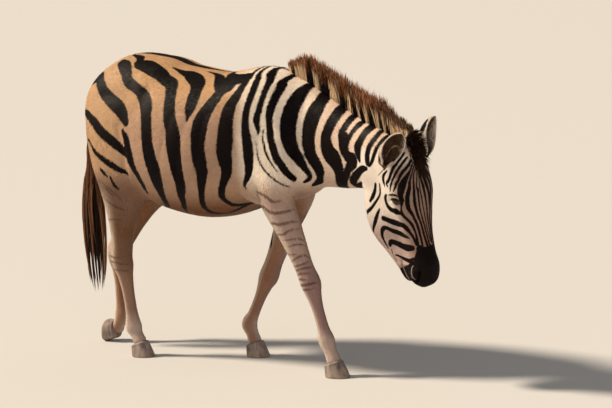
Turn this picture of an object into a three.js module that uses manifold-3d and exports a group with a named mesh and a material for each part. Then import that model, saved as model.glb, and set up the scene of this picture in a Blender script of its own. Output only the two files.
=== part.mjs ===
// A plains zebra at life size, walking slowly with its head low.
// Millimetres, +Z up.  The body plan is drawn with X forward from the withers,
// Y to the animal's left and Z up from the floor, and the whole is then shifted
// so that the middle of its box is on the Z axis.
//
// Every limb is a loft: a row of stations along the limb's line, each with the
// flesh in front of the line, behind it and to its two sides.
import * as THREE from 'three';
import Module from 'manifold-3d';

const wasm = await Module();
wasm.setup();

// ---------------------------------------------------------------- driving sizes
const GAP = 0.3; // clearance where two nodes touch
const WITHERS = 1270; // height of the withers
const CROUP = 1333; // height of the croup, higher since the shoulders are low
const BACK = 1247; // lowest point of the back
const GIRTH_HALF = 303; // half width of the barrel
const HEAD_LENGTH = 572; // poll to muzzle
const EYE_RADIUS = 22;
const EAR_LENGTH = 162;
const MANE_HEIGHT = 113; // hair above the crest
const MANE_HALF = 20; // half thickness of the mane
const HOOF_TOE_HEIGHT = 74;
const HOOF_HEEL_HEIGHT = 44;
const BENT_FOOT_TILT = 101; // degrees the left hind hoof is turned toe down

// Joints of the four legs, hip or shoulder first and coronet last.
const FORE_RIGHT = [[95, -125, 1020], [112, -145, 720], [240, -120, 384], [294, -100, 150], [326, -100, 60]];
const FORE_LEFT = [[55, 125, 1020], [-8, 145, 700], [-166, 120, 350], [-266, 100, 140], [-242, 100, 60]];
const HIND_RIGHT = [
  [-690, -120, 1150], [-712, -165, 860], [-778, -130, 425],
  [-754, -110, 130], [-722, -110, 60],
];
const HIND_LEFT = [
  [-720, 120, 1150], [-760, 165, 860], [-1043, 130, 405],
  [-1014, 102, 120], [-1052, 100, 54],
];

// The head hangs from the poll, turned toward the right side and rolled a little.
const POLL = new THREE.Vector3(800, -160, 966);
const HEAD_TURN = -11; // degrees about Z, from straight ahead
const HEAD_PITCH = 3; // muzzle forward of plumb
const HEAD_ROLL = 8; // left side higher

// ---------------------------------------------------------------- lofting
const rad = THREE.MathUtils.degToRad;
const AHEAD = new THREE.Vector3(1, 0, 0);
const LEFT = new THREE.Vector3(0, 1, 0);

/** Catmull-Rom through rows of numbers, with `per` steps between two rows. */
function smoothRows(rows, per) {
  const first = rows[0].map((v, k) => 2 * v - rows[1][k]);
  const last = rows.at(-1).map((v, k) => 2 * v - rows.at(-2)[k]);
  const all = [first, ...rows, last];
  const out = [];
  for (let i = 1; i < all.length - 2; i++) {
    for (let step = 0; step < per; step++) {
      const t = step / per;
      out.push(all[i].map((_, k) => {
        const [a, b, c, d] = [all[i - 1][k], all[i][k], all[i + 1][k], all[i + 2][k]];
        return 0.5 * (2 * b + (c - a) * t + (2 * a - 5 * b + 4 * c - d) * t * t
          + (3 * b - a - 3 * c + d) * t * t * t);
      }));
    }
  }
  out.push(rows.at(-1).slice());
  return out;
}

/**
 * Unit vectors at each centre: along the limb, to its left side and to its front.
 * A fixed direction along keeps every section upright.
 */
function limbFrames(centres, side, fixedAlong = null) {
  return centres.map((c, i) => {
    const before = centres[Math.max(i - 1, 0)];
    const after = centres[Math.min(i + 1, centres.length - 1)];
    const along = fixedAlong ?? after.clone().sub(before).normalize();
    const left = side.clone().addScaledVector(along, -side.dot(along)).normalize();
    const front = along.clone().cross(left);
    return { along, left, front };
  });
}

/** A superellipse point: 2 is an ellipse, more is squarer. */
function squarePower(value, exponent) {
  return Math.sign(value) * Math.abs(value) ** (2 / exponent);
}

/** Closes rings of points, all of one length, into a Manifold with two fan caps. */
function closeRings(rings) {
  const count = rings[0].length;
  const points = rings.flat();
  const triangles = [];
  for (let i = 0; i < rings.length - 1; i++) {
    for (let j = 0; j < count; j++) {
      const next = (j + 1) % count;
      const [a, b] = [i * count + j, i * count + next];
      triangles.push(a, b, b + count, a, b + count, a + count);
    }
  }
  for (const end of [0, rings.length - 1]) {
    const centre = new THREE.Vector3();
    rings[end].forEach((p) => centre.addScaledVector(p, 1 / count));
    points.push(centre);
    for (let j = 0; j < count; j++) {
      const [a, b] = [end * count + j, end * count + (j + 1) % count];
      triangles.push(...(end === 0 ? [points.length - 1, b, a] : [points.length - 1, a, b]));
    }
  }
  const solid = new wasm.Manifold(new wasm.Mesh({
    numProp: 3,
    vertProperties: new Float32Array(points.flatMap((p) => [p.x, p.y, p.z])),
    triVerts: new Uint32Array(triangles),
  }));
  return solid.volume() > 0 ? solid : closeRings(rings.map((ring) => ring.slice().reverse()));
}

/**
 * A limb from rows [x, y, z, front, back, half width, exponent].
 * `grow` adds to every size, for cutting a neighbour clear of it.
 */
function loft(rows, { side = LEFT, along = null, per = 3, around = 20, grow = 0 } = {}) {
  const fine = smoothRows(rows, per);
  const centres = fine.map((r) => new THREE.Vector3(r[0], r[1], r[2]));
  const frames = limbFrames(centres, side, along);
  centres[0].addScaledVector(frames[0].along, -grow);
  centres.at(-1).addScaledVector(frames.at(-1).along, grow);
  const rings = fine.map(([, , , front, back, half, exponent], i) => {
    const ring = [];
    for (let j = 0; j < around; j++) {
      const angle = (2 * Math.PI * j) / around;
      const u = squarePower(Math.cos(angle), exponent) * (half + grow);
      const v = squarePower(Math.sin(angle), exponent) * ((Math.sin(angle) > 0 ? front : back) + grow);
      ring.push(centres[i].clone().addScaledVector(frames[i].left, u).addScaledVector(frames[i].front, v));
    }
    return ring;
  });
  return closeRings(rings);
}

// ---------------------------------------------------------------- trunk
/** Loin to breast: x, height of the widest line, flesh above, below, half width, exponent. */
const BARREL = [
  [-690, 905, 150, 110, 105, 2], // blunt back of the belly, where the flank folds in
  [-668, 905, 250, 175, 190, 2],
  [-618, 905, 355, 222, 254, 2.1],
  [-530, 905, 392, 256, 288, 2.1],
  [-410, 895, 382, 269, GIRTH_HALF - 2, 2.1],
  [-310, 886, 373, 266, GIRTH_HALF, 2.1], // widest part of the barrel
  [-200, 888, BACK - 888, 254, 292, 2.1],
  [-70, 912, 355, 240, 258, 2.1],
  [30, 932, WITHERS - 936, 238, 224, 2.1], // withers
  [115, 935, 292, 224, 190, 2],
  [185, 920, 215, 184, 154, 2],
  [236, 900, 125, 120, 105, 2], // breast
];
/** Rump to loin, in the same measures: narrower than the barrel, and higher. */
const QUARTERS = [
  [-972, 1080, 60, 80, 70, 2], // point of the rump
  [-955, 1075, 125, 140, 125, 2],
  [-915, 1055, 190, 205, 172, 2.2], // tail head
  [-840, 1025, 268, 235, 208, 2.3],
  [-735, 990, CROUP - 992, 235, 226, 2.3], // croup over the hips
  [-610, 975, CROUP - 982, 225, 238, 2.3],
  [-500, 962, 334, 210, 226, 2.2],
  [-400, 940, 290, 180, 180, 2], // loin, inside the barrel
];

function trunkSolid(grow = 0) {
  const part = (stations) => loft(
    stations.map(([x, z, up, down, half, exponent]) => [x, 0, z, up, down, half, exponent]),
    { along: AHEAD, around: 20, per: 2, grow },
  );
  return part(BARREL).add(part(QUARTERS));
}

// ---------------------------------------------------------------- neck
/** Shoulders to poll: x, y, z of the middle line, flesh to the crest, to the throat, half width. */
const NECK = [
  [0, 0, 1000, 225, 210, 150],
  [120, 0, 985, 236, 212, 138],
  [235, -10, 965, 202, 202, 120],
  [340, -35, 945, 176, 178, 102],
  [440, -62, 925, 154, 156, 90],
  [535, -92, 910, 140, 132, 82],
  [630, -122, 905, 122, 122, 76],
  [715, -145, 902, 88, 100, 66],
];

function neckLoft(grow = 0) {
  return loft(NECK.map((row) => [...row, 2.1]), { around: 18, per: 2, grow });
}

// ---------------------------------------------------------------- head
/** The head's own axes: down the face, to its left, and out of the forehead. */
function headAxes() {
  const turned = new THREE.Vector3(Math.cos(rad(HEAD_TURN)), Math.sin(rad(HEAD_TURN)), 0);
  const level = new THREE.Vector3(-Math.sin(rad(HEAD_TURN)), Math.cos(rad(HEAD_TURN)), 0);
  const plumb = new THREE.Vector3(0, 0, -1);
  const [cp, sp] = [Math.cos(rad(HEAD_PITCH)), Math.sin(rad(HEAD_PITCH))];
  const [cr, sr] = [Math.cos(rad(HEAD_ROLL)), Math.sin(rad(HEAD_ROLL))];
  const face = plumb.clone().multiplyScalar(cp).addScaledVector(turned, sp);
  const forehead = turned.clone().multiplyScalar(cp).addScaledVector(plumb, -sp);
  const down = face.clone().multiplyScalar(cr).addScaledVector(level, sr);
  const left = level.clone().multiplyScalar(cr).addScaledVector(face, -sr);
  return { down, left, forehead };
}
const HEAD = headAxes();

/** A point of the head: along the face from the poll, to the left, out of the forehead. */
function headPoint(along, left, out) {
  return POLL.clone().addScaledVector(HEAD.down, along).addScaledVector(HEAD.left, left)
    .addScaledVector(HEAD.forehead, out);
}

/** Skull, poll to muzzle: distance down the face, forehead line, lower line, half width, exponent. */
const SKULL = [
  [-42, -36, -90, 38, 2],
  [-12, -3, -125, 64, 2.2], // poll
  [60, 12, -160, 82, 2.4],
  [140, 16, -170, 92, 2.6],
  [200, 12, -165, 93, 2.6], // brows
  [270, 3, -150, 74, 2.6],
  [350, -8, -135, 60, 2.6],
  [430, -10, -128, 57, 2.6],
  [490, -6, -126, 62, 2.7], // nostrils
  [537, -20, -116, 57, 2.5],
  [HEAD_LENGTH, -50, -100, 38, 2.2], // lips
];
/** Lower jaw, throat to chin, in the same measures. */
const JAW = [
  [10, -80, -180, 46, 2.2],
  [60, -80, -240, 62, 2.4],
  [130, -80, -276, 74, 2.6], // cheek
  [200, -80, -292, 79, 2.6],
  [260, -80, -304, 80, 2.5],
  [320, -80, -296, 73, 2.4],
  [390, -80, -250, 58, 2.4],
  [455, -80, -206, 49, 2.4],
  [510, -80, -176, 41, 2.3], // chin
  [548, -84, -162, 30, 2],
];

function headLoft(rows, grow) {
  const placed = rows.map(([along, top, bottom, half, exponent]) => {
    const centre = headPoint(along, 0, (top + bottom) / 2);
    const depth = (top - bottom) / 2;
    return [centre.x, centre.y, centre.z, depth, depth, half, exponent];
  });
  return loft(placed, { side: HEAD.left, around: 16, per: 2, grow });
}

function headSolid(grow = 0) {
  return headLoft(SKULL, grow).add(headLoft(JAW, grow));
}

// ---------------------------------------------------------------- eyes
const EYE_AT = { along: 201, side: 74, out: -66 };

function eyeSolid(sign, grow = 0) {
  const centre = headPoint(EYE_AT.along, sign * EYE_AT.side, EYE_AT.out);
  const radius = EYE_RADIUS + grow;
  const rings = [];
  const [steps, around] = [7, 10];
  for (let i = 1; i < steps; i++) {
    const polar = (Math.PI * i) / steps;
    const ring = [];
    for (let j = 0; j < around; j++) {
      const angle = (2 * Math.PI * j) / around;
      ring.push(centre.clone().addScaledVector(HEAD.left, sign * radius * Math.cos(polar))
        .addScaledVector(HEAD.down, radius * Math.sin(polar) * Math.cos(angle))
        .addScaledVector(HEAD.forehead, radius * Math.sin(polar) * Math.sin(angle)));
    }
    rings.push(ring);
  }
  return closeRings(rings);
}

// ---------------------------------------------------------------- ears
/** Root to tip: share of the length, radius of the cup, half of its open arc in degrees. */
const EAR = [
  [0, 24, 165],
  [0.14, 31, 150],
  [0.3, 40, 118],
  [0.5, 45, 98],
  [0.7, 42, 84],
  [0.86, 32, 76],
  [0.96, 18, 70],
  [1, 7, 66],
];
const EAR_WALL = 5; // skin and coat on both faces
const EAR_HOLLOW = 0.35; // least radius of the hollow, as a share of the ear's own
const EAR_FORWARD = 0.25; // how far each section stands out toward the mouth, in radii
const EAR_STEPS = 5; // points from the back of the ear round to each edge
/** Where each ear leaves the head, where it points and where its mouth faces. */
const EAR_RIGHT = { at: [43, -89, -95], points: [-0.66, 0.02, 0.75], faces: [0.15, -0.5, 0.86] };
const EAR_LEFT = { at: [52, 54, -28], points: [-0.84, 0.42, 0.28], faces: [0, 0.32, 0.95] };

function headDirection([along, left, out]) {
  return new THREE.Vector3().addScaledVector(HEAD.down, along).addScaledVector(HEAD.left, left)
    .addScaledVector(HEAD.forehead, out).normalize();
}

function earSolid({ at, points, faces }) {
  const root = headPoint(...at);
  const axis = headDirection(points);
  const mouth = headDirection(faces);
  mouth.addScaledVector(axis, -mouth.dot(axis)).normalize();
  const side = axis.clone().cross(mouth);
  const rings = EAR.map(([share, radius, arc]) => {
    const middle = root.clone().addScaledVector(axis, share * EAR_LENGTH)
      .addScaledVector(mouth, radius * EAR_FORWARD);
    const onArc = (k, r) => {
      const angle = rad(arc) * (k / EAR_STEPS);
      return middle.clone().addScaledVector(mouth, -r * Math.cos(angle))
        .addScaledVector(side, r * Math.sin(angle));
    };
    const inner = Math.max(radius - EAR_WALL, radius * EAR_HOLLOW);
    const ring = [];
    for (let k = -EAR_STEPS; k <= EAR_STEPS; k++) ring.push(onArc(k, radius));
    for (let k = EAR_STEPS; k >= -EAR_STEPS; k--) ring.push(onArc(k, inner));
    return ring;
  });
  return closeRings(rings);
}

// ---------------------------------------------------------------- legs
/** Station on a leg: place along its joints, flesh in front, behind, to each side, exponent. */
const FORE_SIZES = [
  [0, 40, 50, 26, 2], // top of the shoulder
  [0.16, 78, 92, 52, 2],
  [0.5, 100, 130, 80, 2], // shoulder muscle
  [0.8, 88, 112, 78, 2],
  [1, 74, 84, 66, 2], // elbow
  [1.27, 62, 68, 55, 2], // forearm
  [1.55, 50, 52, 47, 2],
  [1.8, 42, 44, 41, 2],
  [2, 45, 46, 42, 2.3], // knee
  [2.2, 33, 37, 34, 2.3],
  [2.45, 26, 31, 26, 2.2], // cannon
  [2.78, 26, 31, 26, 2.2],
  [3, 35, 41, 34, 2.2], // fetlock
  [3.5, 28, 33, 29, 2.2], // pastern
  [3.95, 33, 32, 33, 2.2], // coronet
];
const HIND_SIZES = [
  [0, 96, 110, 60, 2], // hip
  [0.18, 150, 165, 98, 2],
  [0.55, 195, 208, 114, 2], // thigh
  [1, 188, 172, 102, 2],
  [1.25, 136, 128, 84, 2], // stifle
  [1.45, 86, 97, 66, 2],
  [1.64, 60, 74, 53, 2], // gaskin
  [1.82, 48, 62, 45, 2],
  [1.96, 44, 70, 42, 2.2], // hock
  [2.08, 44, 56, 42, 2.3],
  [2.25, 34, 38, 34, 2.3],
  [2.5, 29, 31, 28, 2.2], // cannon
  [2.8, 29, 32, 29, 2.2],
  [3, 37, 43, 36, 2.2], // fetlock
  [3.5, 28, 33, 29, 2.2], // pastern
  [3.95, 33, 32, 33, 2.2], // coronet
];

/** Point at a place along the joints, where 2.5 is halfway from joint 2 to joint 3. */
function alongJoints(joints, place) {
  const i = Math.min(Math.floor(place), joints.length - 2);
  return joints[i].map((v, k) => v + (joints[i + 1][k] - v) * (place - i));
}

function legLoft(joints, sizes) {
  const rows = sizes.map(([place, ...size]) => [...alongJoints(joints, place), ...size]);
  return loft(rows, { around: 12, per: 2 });
}

// ---------------------------------------------------------------- hooves
/** Hoof sole, toe half and heel half, and the half width, at floor and coronet. */
const SOLE = { toe: 62, heel: 46, half: 44 };
const CORONET = { toe: 38, heel: 36, half: 36 };
const HOOF_MIDDLE_HEIGHT = (HOOF_TOE_HEIGHT + HOOF_HEEL_HEIGHT) / 2;
const HOOF_LEAN = 14; // how far the wall leans back from the floor to the coronet
const HOOF_FORWARD = 8; // the sole stands this far ahead of the leg's last joint
const HOOF_SQUARE = 2.3; // exponent of its outline

/**
 * A hoof about its coronet.  `tilt` turns it toe down about the left axis:
 * 0 stands flat, 90 has the sole facing back.
 */
function hoofSolid({ coronet, tilt = 0 }, grow = 0) {
  const rings = [0, 0.12, 0.5, 1].map((share) => {
    const ring = [];
    for (let j = 0; j < 16; j++) {
      const angle = (2 * Math.PI * j) / 16;
      const mix = (key) => SOLE[key] + (CORONET[key] - SOLE[key]) * share + grow;
      const u = squarePower(Math.cos(angle), HOOF_SQUARE) * (Math.cos(angle) > 0 ? mix('toe') : mix('heel'));
      const v = squarePower(Math.sin(angle), HOOF_SQUARE) * mix('half');
      const slope = (HOOF_TOE_HEIGHT - HOOF_HEEL_HEIGHT) / (2 * CORONET.toe);
      const height = share * (HOOF_MIDDLE_HEIGHT + slope * u + grow) - (share === 0 ? grow : 0);
      ring.push(new THREE.Vector3(u - share * HOOF_LEAN + HOOF_FORWARD, v, height));
    }
    return ring;
  });
  const turn = new THREE.Matrix4().makeRotationY(rad(tilt));
  const pivot = new THREE.Vector3(0, 0, HOOF_MIDDLE_HEIGHT);
  const placed = rings.map((ring) => ring.map((p) => p.clone().sub(pivot).applyMatrix4(turn).add(coronet)));
  return closeRings(placed);
}

/** The coronet of a hoof whose sole is flat on the floor under the leg's last joint. */
function standing(joints) {
  const [x, y] = joints.at(-1);
  return { coronet: new THREE.Vector3(x, y, HOOF_MIDDLE_HEIGHT), tilt: 0 };
}

// ---------------------------------------------------------------- tail, mane, forelock
/** Dock: x, z, half thickness.  It hangs close behind the buttocks. */
const DOCK = [
  [-905, 1232, 34],
  [-955, 1205, 33],
  [-1000, 1140, 30],
  [-1030, 1040, 27],
  [-1044, 930, 24],
  [-1050, 830, 21],
];
/** Tuft of long hair: x, z, half depth, half width. */
const TUFT = [
  [-1050, 826, 24, 24],
  [-1058, 740, 40, 38],
  [-1064, 620, 48, 44],
  [-1066, 500, 46, 42],
  [-1066, 390, 36, 32],
  [-1064, 300, 22, 20],
  [-1062, 240, 9, 9],
];

function dockSolid() {
  return loft(DOCK.map(([x, z, half]) => [x, 0, z, half, half, half, 2]), { around: 12, per: 2 });
}

function tuftSolid() {
  return loft(TUFT.map(([x, z, deep, half]) => [x, 0, z, deep, deep, half, 2]), { around: 12, per: 2 });
}

const MANE_SUNK = 10; // how far its solid is carried past the hair at crest and tip, before the cut
const MANE_FIRST = 2; // fine station of the neck where it starts, over the withers
const MANE_START = 0.25; // share of its height there
const MANE_GAIN = 0.12; // how much taller it grows toward the poll
const MANE_AT_POLL = 0.6; // share of its height left where it meets the forelock

/** The mane stands on the crest: stations of the neck, raised to the middle of the hair. */
function maneSolid() {
  const rows = smoothRows(NECK.map((row) => [...row, 2.1]), 2);
  const centres = rows.map((r) => new THREE.Vector3(r[0], r[1], r[2]));
  const frames = limbFrames(centres, LEFT);
  const stations = [];
  for (let i = MANE_FIRST; i < rows.length; i++) {
    const share = (i - MANE_FIRST) / (rows.length - 1 - MANE_FIRST);
    const rise = MANE_HEIGHT * Math.min(1, MANE_START + share * 7) * (1 + MANE_GAIN * share);
    const crest = centres[i].clone().addScaledVector(frames[i].front, rows[i][3]);
    const middle = crest.addScaledVector(frames[i].front, rise / 2 - MANE_SUNK);
    const reach = rise / 2 + MANE_SUNK;
    stations.push([middle.x, middle.y, middle.z, reach, reach, MANE_HALF, 3]);
  }
  const poll = headPoint(-20, 0, 0);
  const rise = MANE_HEIGHT * MANE_AT_POLL;
  stations.push([poll.x - 24, poll.y, poll.z + rise / 2, rise / 2 + 8, rise / 2, MANE_HALF, 3]);
  return loft(stations, { around: 8, per: 1 });
}

/** Forelock: a thick tuft over the poll and forehead: down the face, out, half depth, half width. */
const FORELOCK = [
  [-70, -2, 30, 20],
  [-40, 18, 34, 32],
  [0, 30, 30, 36],
  [40, 30, 22, 34],
  [75, 24, 14, 26],
  [98, 18, 6, 14],
];

function forelockSolid() {
  const rows = FORELOCK.map(([along, out, deep, half]) => {
    const centre = headPoint(along, 0, out);
    return [centre.x, centre.y, centre.z, deep, deep, half, 2];
  });
  return loft(rows, { side: HEAD.left, around: 12, per: 2 });
}

// ---------------------------------------------------------------- materials
const PAINTS = {
  coat: { color: 0xd9c3a0, roughness: 0.75, metalness: 0 },
  mane: { color: 0x4a2e1e, roughness: 0.8, metalness: 0 },
  horn: { color: 0x8d8479, roughness: 0.6, metalness: 0 },
  eye: { color: 0x120c09, roughness: 0.1, metalness: 0 },
};

// ---------------------------------------------------------------- assembly
const FLOOR = 0;
const SHAVING = 1e-3; // cubic millimetres under which a cut leaves nothing worth keeping

/** The largest piece of a solid, since a cut can leave loose shavings. */
function mainPiece(solid) {
  const pieces = solid.decompose().filter((piece) => piece.volume() > SHAVING);
  return pieces.reduce((best, piece) => (piece.volume() > best.volume() ? piece : best));
}

/** Everything above the floor. */
function trimToFloor(solid) {
  return solid.trimByPlane([0, 0, 1], FLOOR);
}

function buildSolids() {
  const hooves = {
    hoof_right_fore: standing(FORE_RIGHT),
    hoof_left_fore: standing(FORE_LEFT),
    hoof_right_hind: standing(HIND_RIGHT),
    hoof_left_hind: { coronet: new THREE.Vector3(...HIND_LEFT.at(-1)), tilt: BENT_FOOT_TILT },
  };
  const legs = {
    leg_right_fore: [FORE_RIGHT, FORE_SIZES],
    leg_left_fore: [FORE_LEFT, FORE_SIZES],
    leg_right_hind: [HIND_RIGHT, HIND_SIZES],
    leg_left_hind: [HIND_LEFT, HIND_SIZES],
  };
  const trunkRoom = trunkSolid(GAP);
  const neckRoom = neckLoft(GAP);
  const headRoom = headSolid(GAP);
  const solids = { trunk: ['coat', trunkSolid()] };
  solids.neck = ['coat', neckLoft().subtract(trunkRoom)];
  const sockets = eyeSolid(1, GAP).add(eyeSolid(-1, GAP));
  solids.head = ['coat', headSolid().subtract(neckRoom).subtract(sockets)];
  solids.eye_right = ['eye', eyeSolid(-1)];
  solids.eye_left = ['eye', eyeSolid(1)];
  solids.ear_right = ['coat', earSolid(EAR_RIGHT).subtract(headRoom).subtract(neckRoom)];
  solids.ear_left = ['coat', earSolid(EAR_LEFT).subtract(headRoom).subtract(neckRoom)];
  const earRoom = earSolid(EAR_RIGHT).add(earSolid(EAR_LEFT));
  solids.forelock = ['mane', forelockSolid().subtract(headRoom).subtract(earRoom)];
  solids.mane = ['mane', maneSolid().subtract(neckRoom).subtract(trunkRoom).subtract(headRoom)
    .subtract(forelockSolid()).subtract(earRoom)];
  for (const [name, [joints, sizes]] of Object.entries(legs)) {
    const hoof = hooves[name.replace('leg', 'hoof')];
    const leg = legLoft(joints, sizes).subtract(trunkRoom).subtract(neckRoom).subtract(hoofSolid(hoof, GAP));
    solids[name] = ['coat', leg];
  }
  for (const [name, hoof] of Object.entries(hooves)) {
    solids[name] = ['horn', trimToFloor(hoofSolid(hoof))];
  }
  solids.tail = ['coat', dockSolid().subtract(trunkRoom)];
  solids.tail_tuft = ['mane', tuftSolid()];
  return solids;
}

function meshOf(name, paint, solid) {
  const { vertProperties, triVerts } = solid.getMesh();
  const geometry = new THREE.BufferGeometry();
  geometry.setAttribute('position', new THREE.BufferAttribute(new Float32Array(vertProperties), 3));
  geometry.setIndex(new THREE.BufferAttribute(new Uint32Array(triVerts), 1));
  geometry.computeVertexNormals();
  const mesh = new THREE.Mesh(geometry, new THREE.MeshStandardMaterial(PAINTS[paint]));
  mesh.name = name;
  return mesh;
}

const zebra = new THREE.Group();
for (const [name, [paint, solid]] of Object.entries(buildSolids())) {
  zebra.add(meshOf(name, paint, mainPiece(solid)));
}
const box = new THREE.Box3().setFromObject(zebra);
const middle = box.getCenter(new THREE.Vector3());
zebra.position.set(-middle.x, -middle.y, -box.min.z);

export default zebra;
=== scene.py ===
# %% [markdown]
# A plains zebra at life size, standing as a museum would show it: one skin over
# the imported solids, short striped fur, a brush of mane, a tail tuft, glassy eyes
# and dusty hooves.  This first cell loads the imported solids, which fix every size
# and place.  They could be drawn as they are, but they are faceted and parted at
# the neck and legs, so most of them are replaced below by finer surfaces.

# %% The frame
import math
import bpy
import bmesh
import numpy as np
from mathutils import Matrix, Vector
from mathutils.bvhtree import BVHTree


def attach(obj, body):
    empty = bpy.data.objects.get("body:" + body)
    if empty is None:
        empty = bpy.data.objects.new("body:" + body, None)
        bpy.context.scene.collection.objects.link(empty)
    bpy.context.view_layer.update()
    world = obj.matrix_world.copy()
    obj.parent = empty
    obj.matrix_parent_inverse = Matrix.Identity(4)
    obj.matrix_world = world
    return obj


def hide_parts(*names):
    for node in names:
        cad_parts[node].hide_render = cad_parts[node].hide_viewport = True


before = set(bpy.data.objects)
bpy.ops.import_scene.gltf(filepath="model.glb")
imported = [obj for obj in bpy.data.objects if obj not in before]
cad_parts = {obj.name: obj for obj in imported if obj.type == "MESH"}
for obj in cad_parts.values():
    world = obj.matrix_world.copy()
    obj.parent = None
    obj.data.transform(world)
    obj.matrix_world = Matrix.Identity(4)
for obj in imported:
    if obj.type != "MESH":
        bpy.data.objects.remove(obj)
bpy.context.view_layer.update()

SHIFT = np.array([0.1322, 0.0, 0.0])  # from the body plan, drawn about the withers, to the frame

# %% [markdown]
# The camera stands to the right of the animal and a little above its back, far
# off, with a long lens, and leans slightly.  It could be placed by eye; here the
# three directions of its view are worked out from two angles and the lean, so the
# numbers say plainly where it stands.

# %% Camera
CAMERA_TURN, CAMERA_RISE, CAMERA_LEAN = math.radians(36.999), math.radians(6.994), math.radians(2.659)
CAMERA_DISTANCE, CAMERA_LENS = 8.0, 113.44
AIM = np.array([0.1432, 0.0, 0.6930]) + SHIFT


def add_camera():
    """A camera looking at AIM from a turn about Z and a rise above the horizon."""
    turn, rise, lean = CAMERA_TURN, CAMERA_RISE, CAMERA_LEAN
    back = np.array([math.sin(turn) * math.cos(rise), -math.cos(turn) * math.cos(rise), math.sin(rise)])
    right = np.array([math.cos(turn), math.sin(turn), 0.0])
    up = np.cross(back, right)
    leaned = math.cos(lean) * right - math.sin(lean) * up, math.sin(lean) * right + math.cos(lean) * up
    lens = bpy.data.cameras.new("camera")
    lens.lens, lens.sensor_width, lens.clip_end = CAMERA_LENS, 36.0, 1500.0
    camera = bpy.data.objects.new("camera", lens)
    bpy.context.scene.collection.objects.link(camera)
    columns = np.column_stack([*leaned, back, AIM + back * CAMERA_DISTANCE])
    camera.matrix_world = Matrix([*map(list, columns), [0, 0, 0, 1]])
    bpy.context.scene.camera = camera
    return camera


print("camera looks at", AIM.round(3), "from", [round(v, 2) for v in add_camera().matrix_world.translation])

# %% [markdown]
# A limb is a loft: a row of stations along a line, each with the flesh in front
# of the line, behind it and to its two sides.  The solids are made the same way,
# from the same stations, so the skin fits inside them.  Catmull-Rom smoothing
# passes through every station, which keeps each measured width.

# %% Lofts
AHEAD, LEFT = np.array([1.0, 0, 0]), np.array([0, 1.0, 0])
MM = 0.001
ROWS_PER_STATION = 6


def smooth_rows(rows, per):
    """Catmull-Rom through rows of numbers, with `per` steps between two rows."""
    rows = np.asarray(rows, float)
    first, last = 2 * rows[0] - rows[1], 2 * rows[-1] - rows[-2]
    every = np.vstack([first, rows, last])
    t = (np.arange(per) / per)[None, :, None]
    a, b, c, d = (every[k:len(every) - 3 + k, None, :] for k in range(4))
    bends = 0.5 * (2 * b + (c - a) * t + (2 * a - 5 * b + 4 * c - d) * t**2
                   + (3 * b - a - 3 * c + d) * t**3)
    return np.vstack([bends.reshape(-1, rows.shape[1]), rows[-1]])


def unit(v):
    """Vectors scaled to length one."""
    return v / np.maximum(np.linalg.norm(v, axis=-1, keepdims=True), 1e-12)


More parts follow.
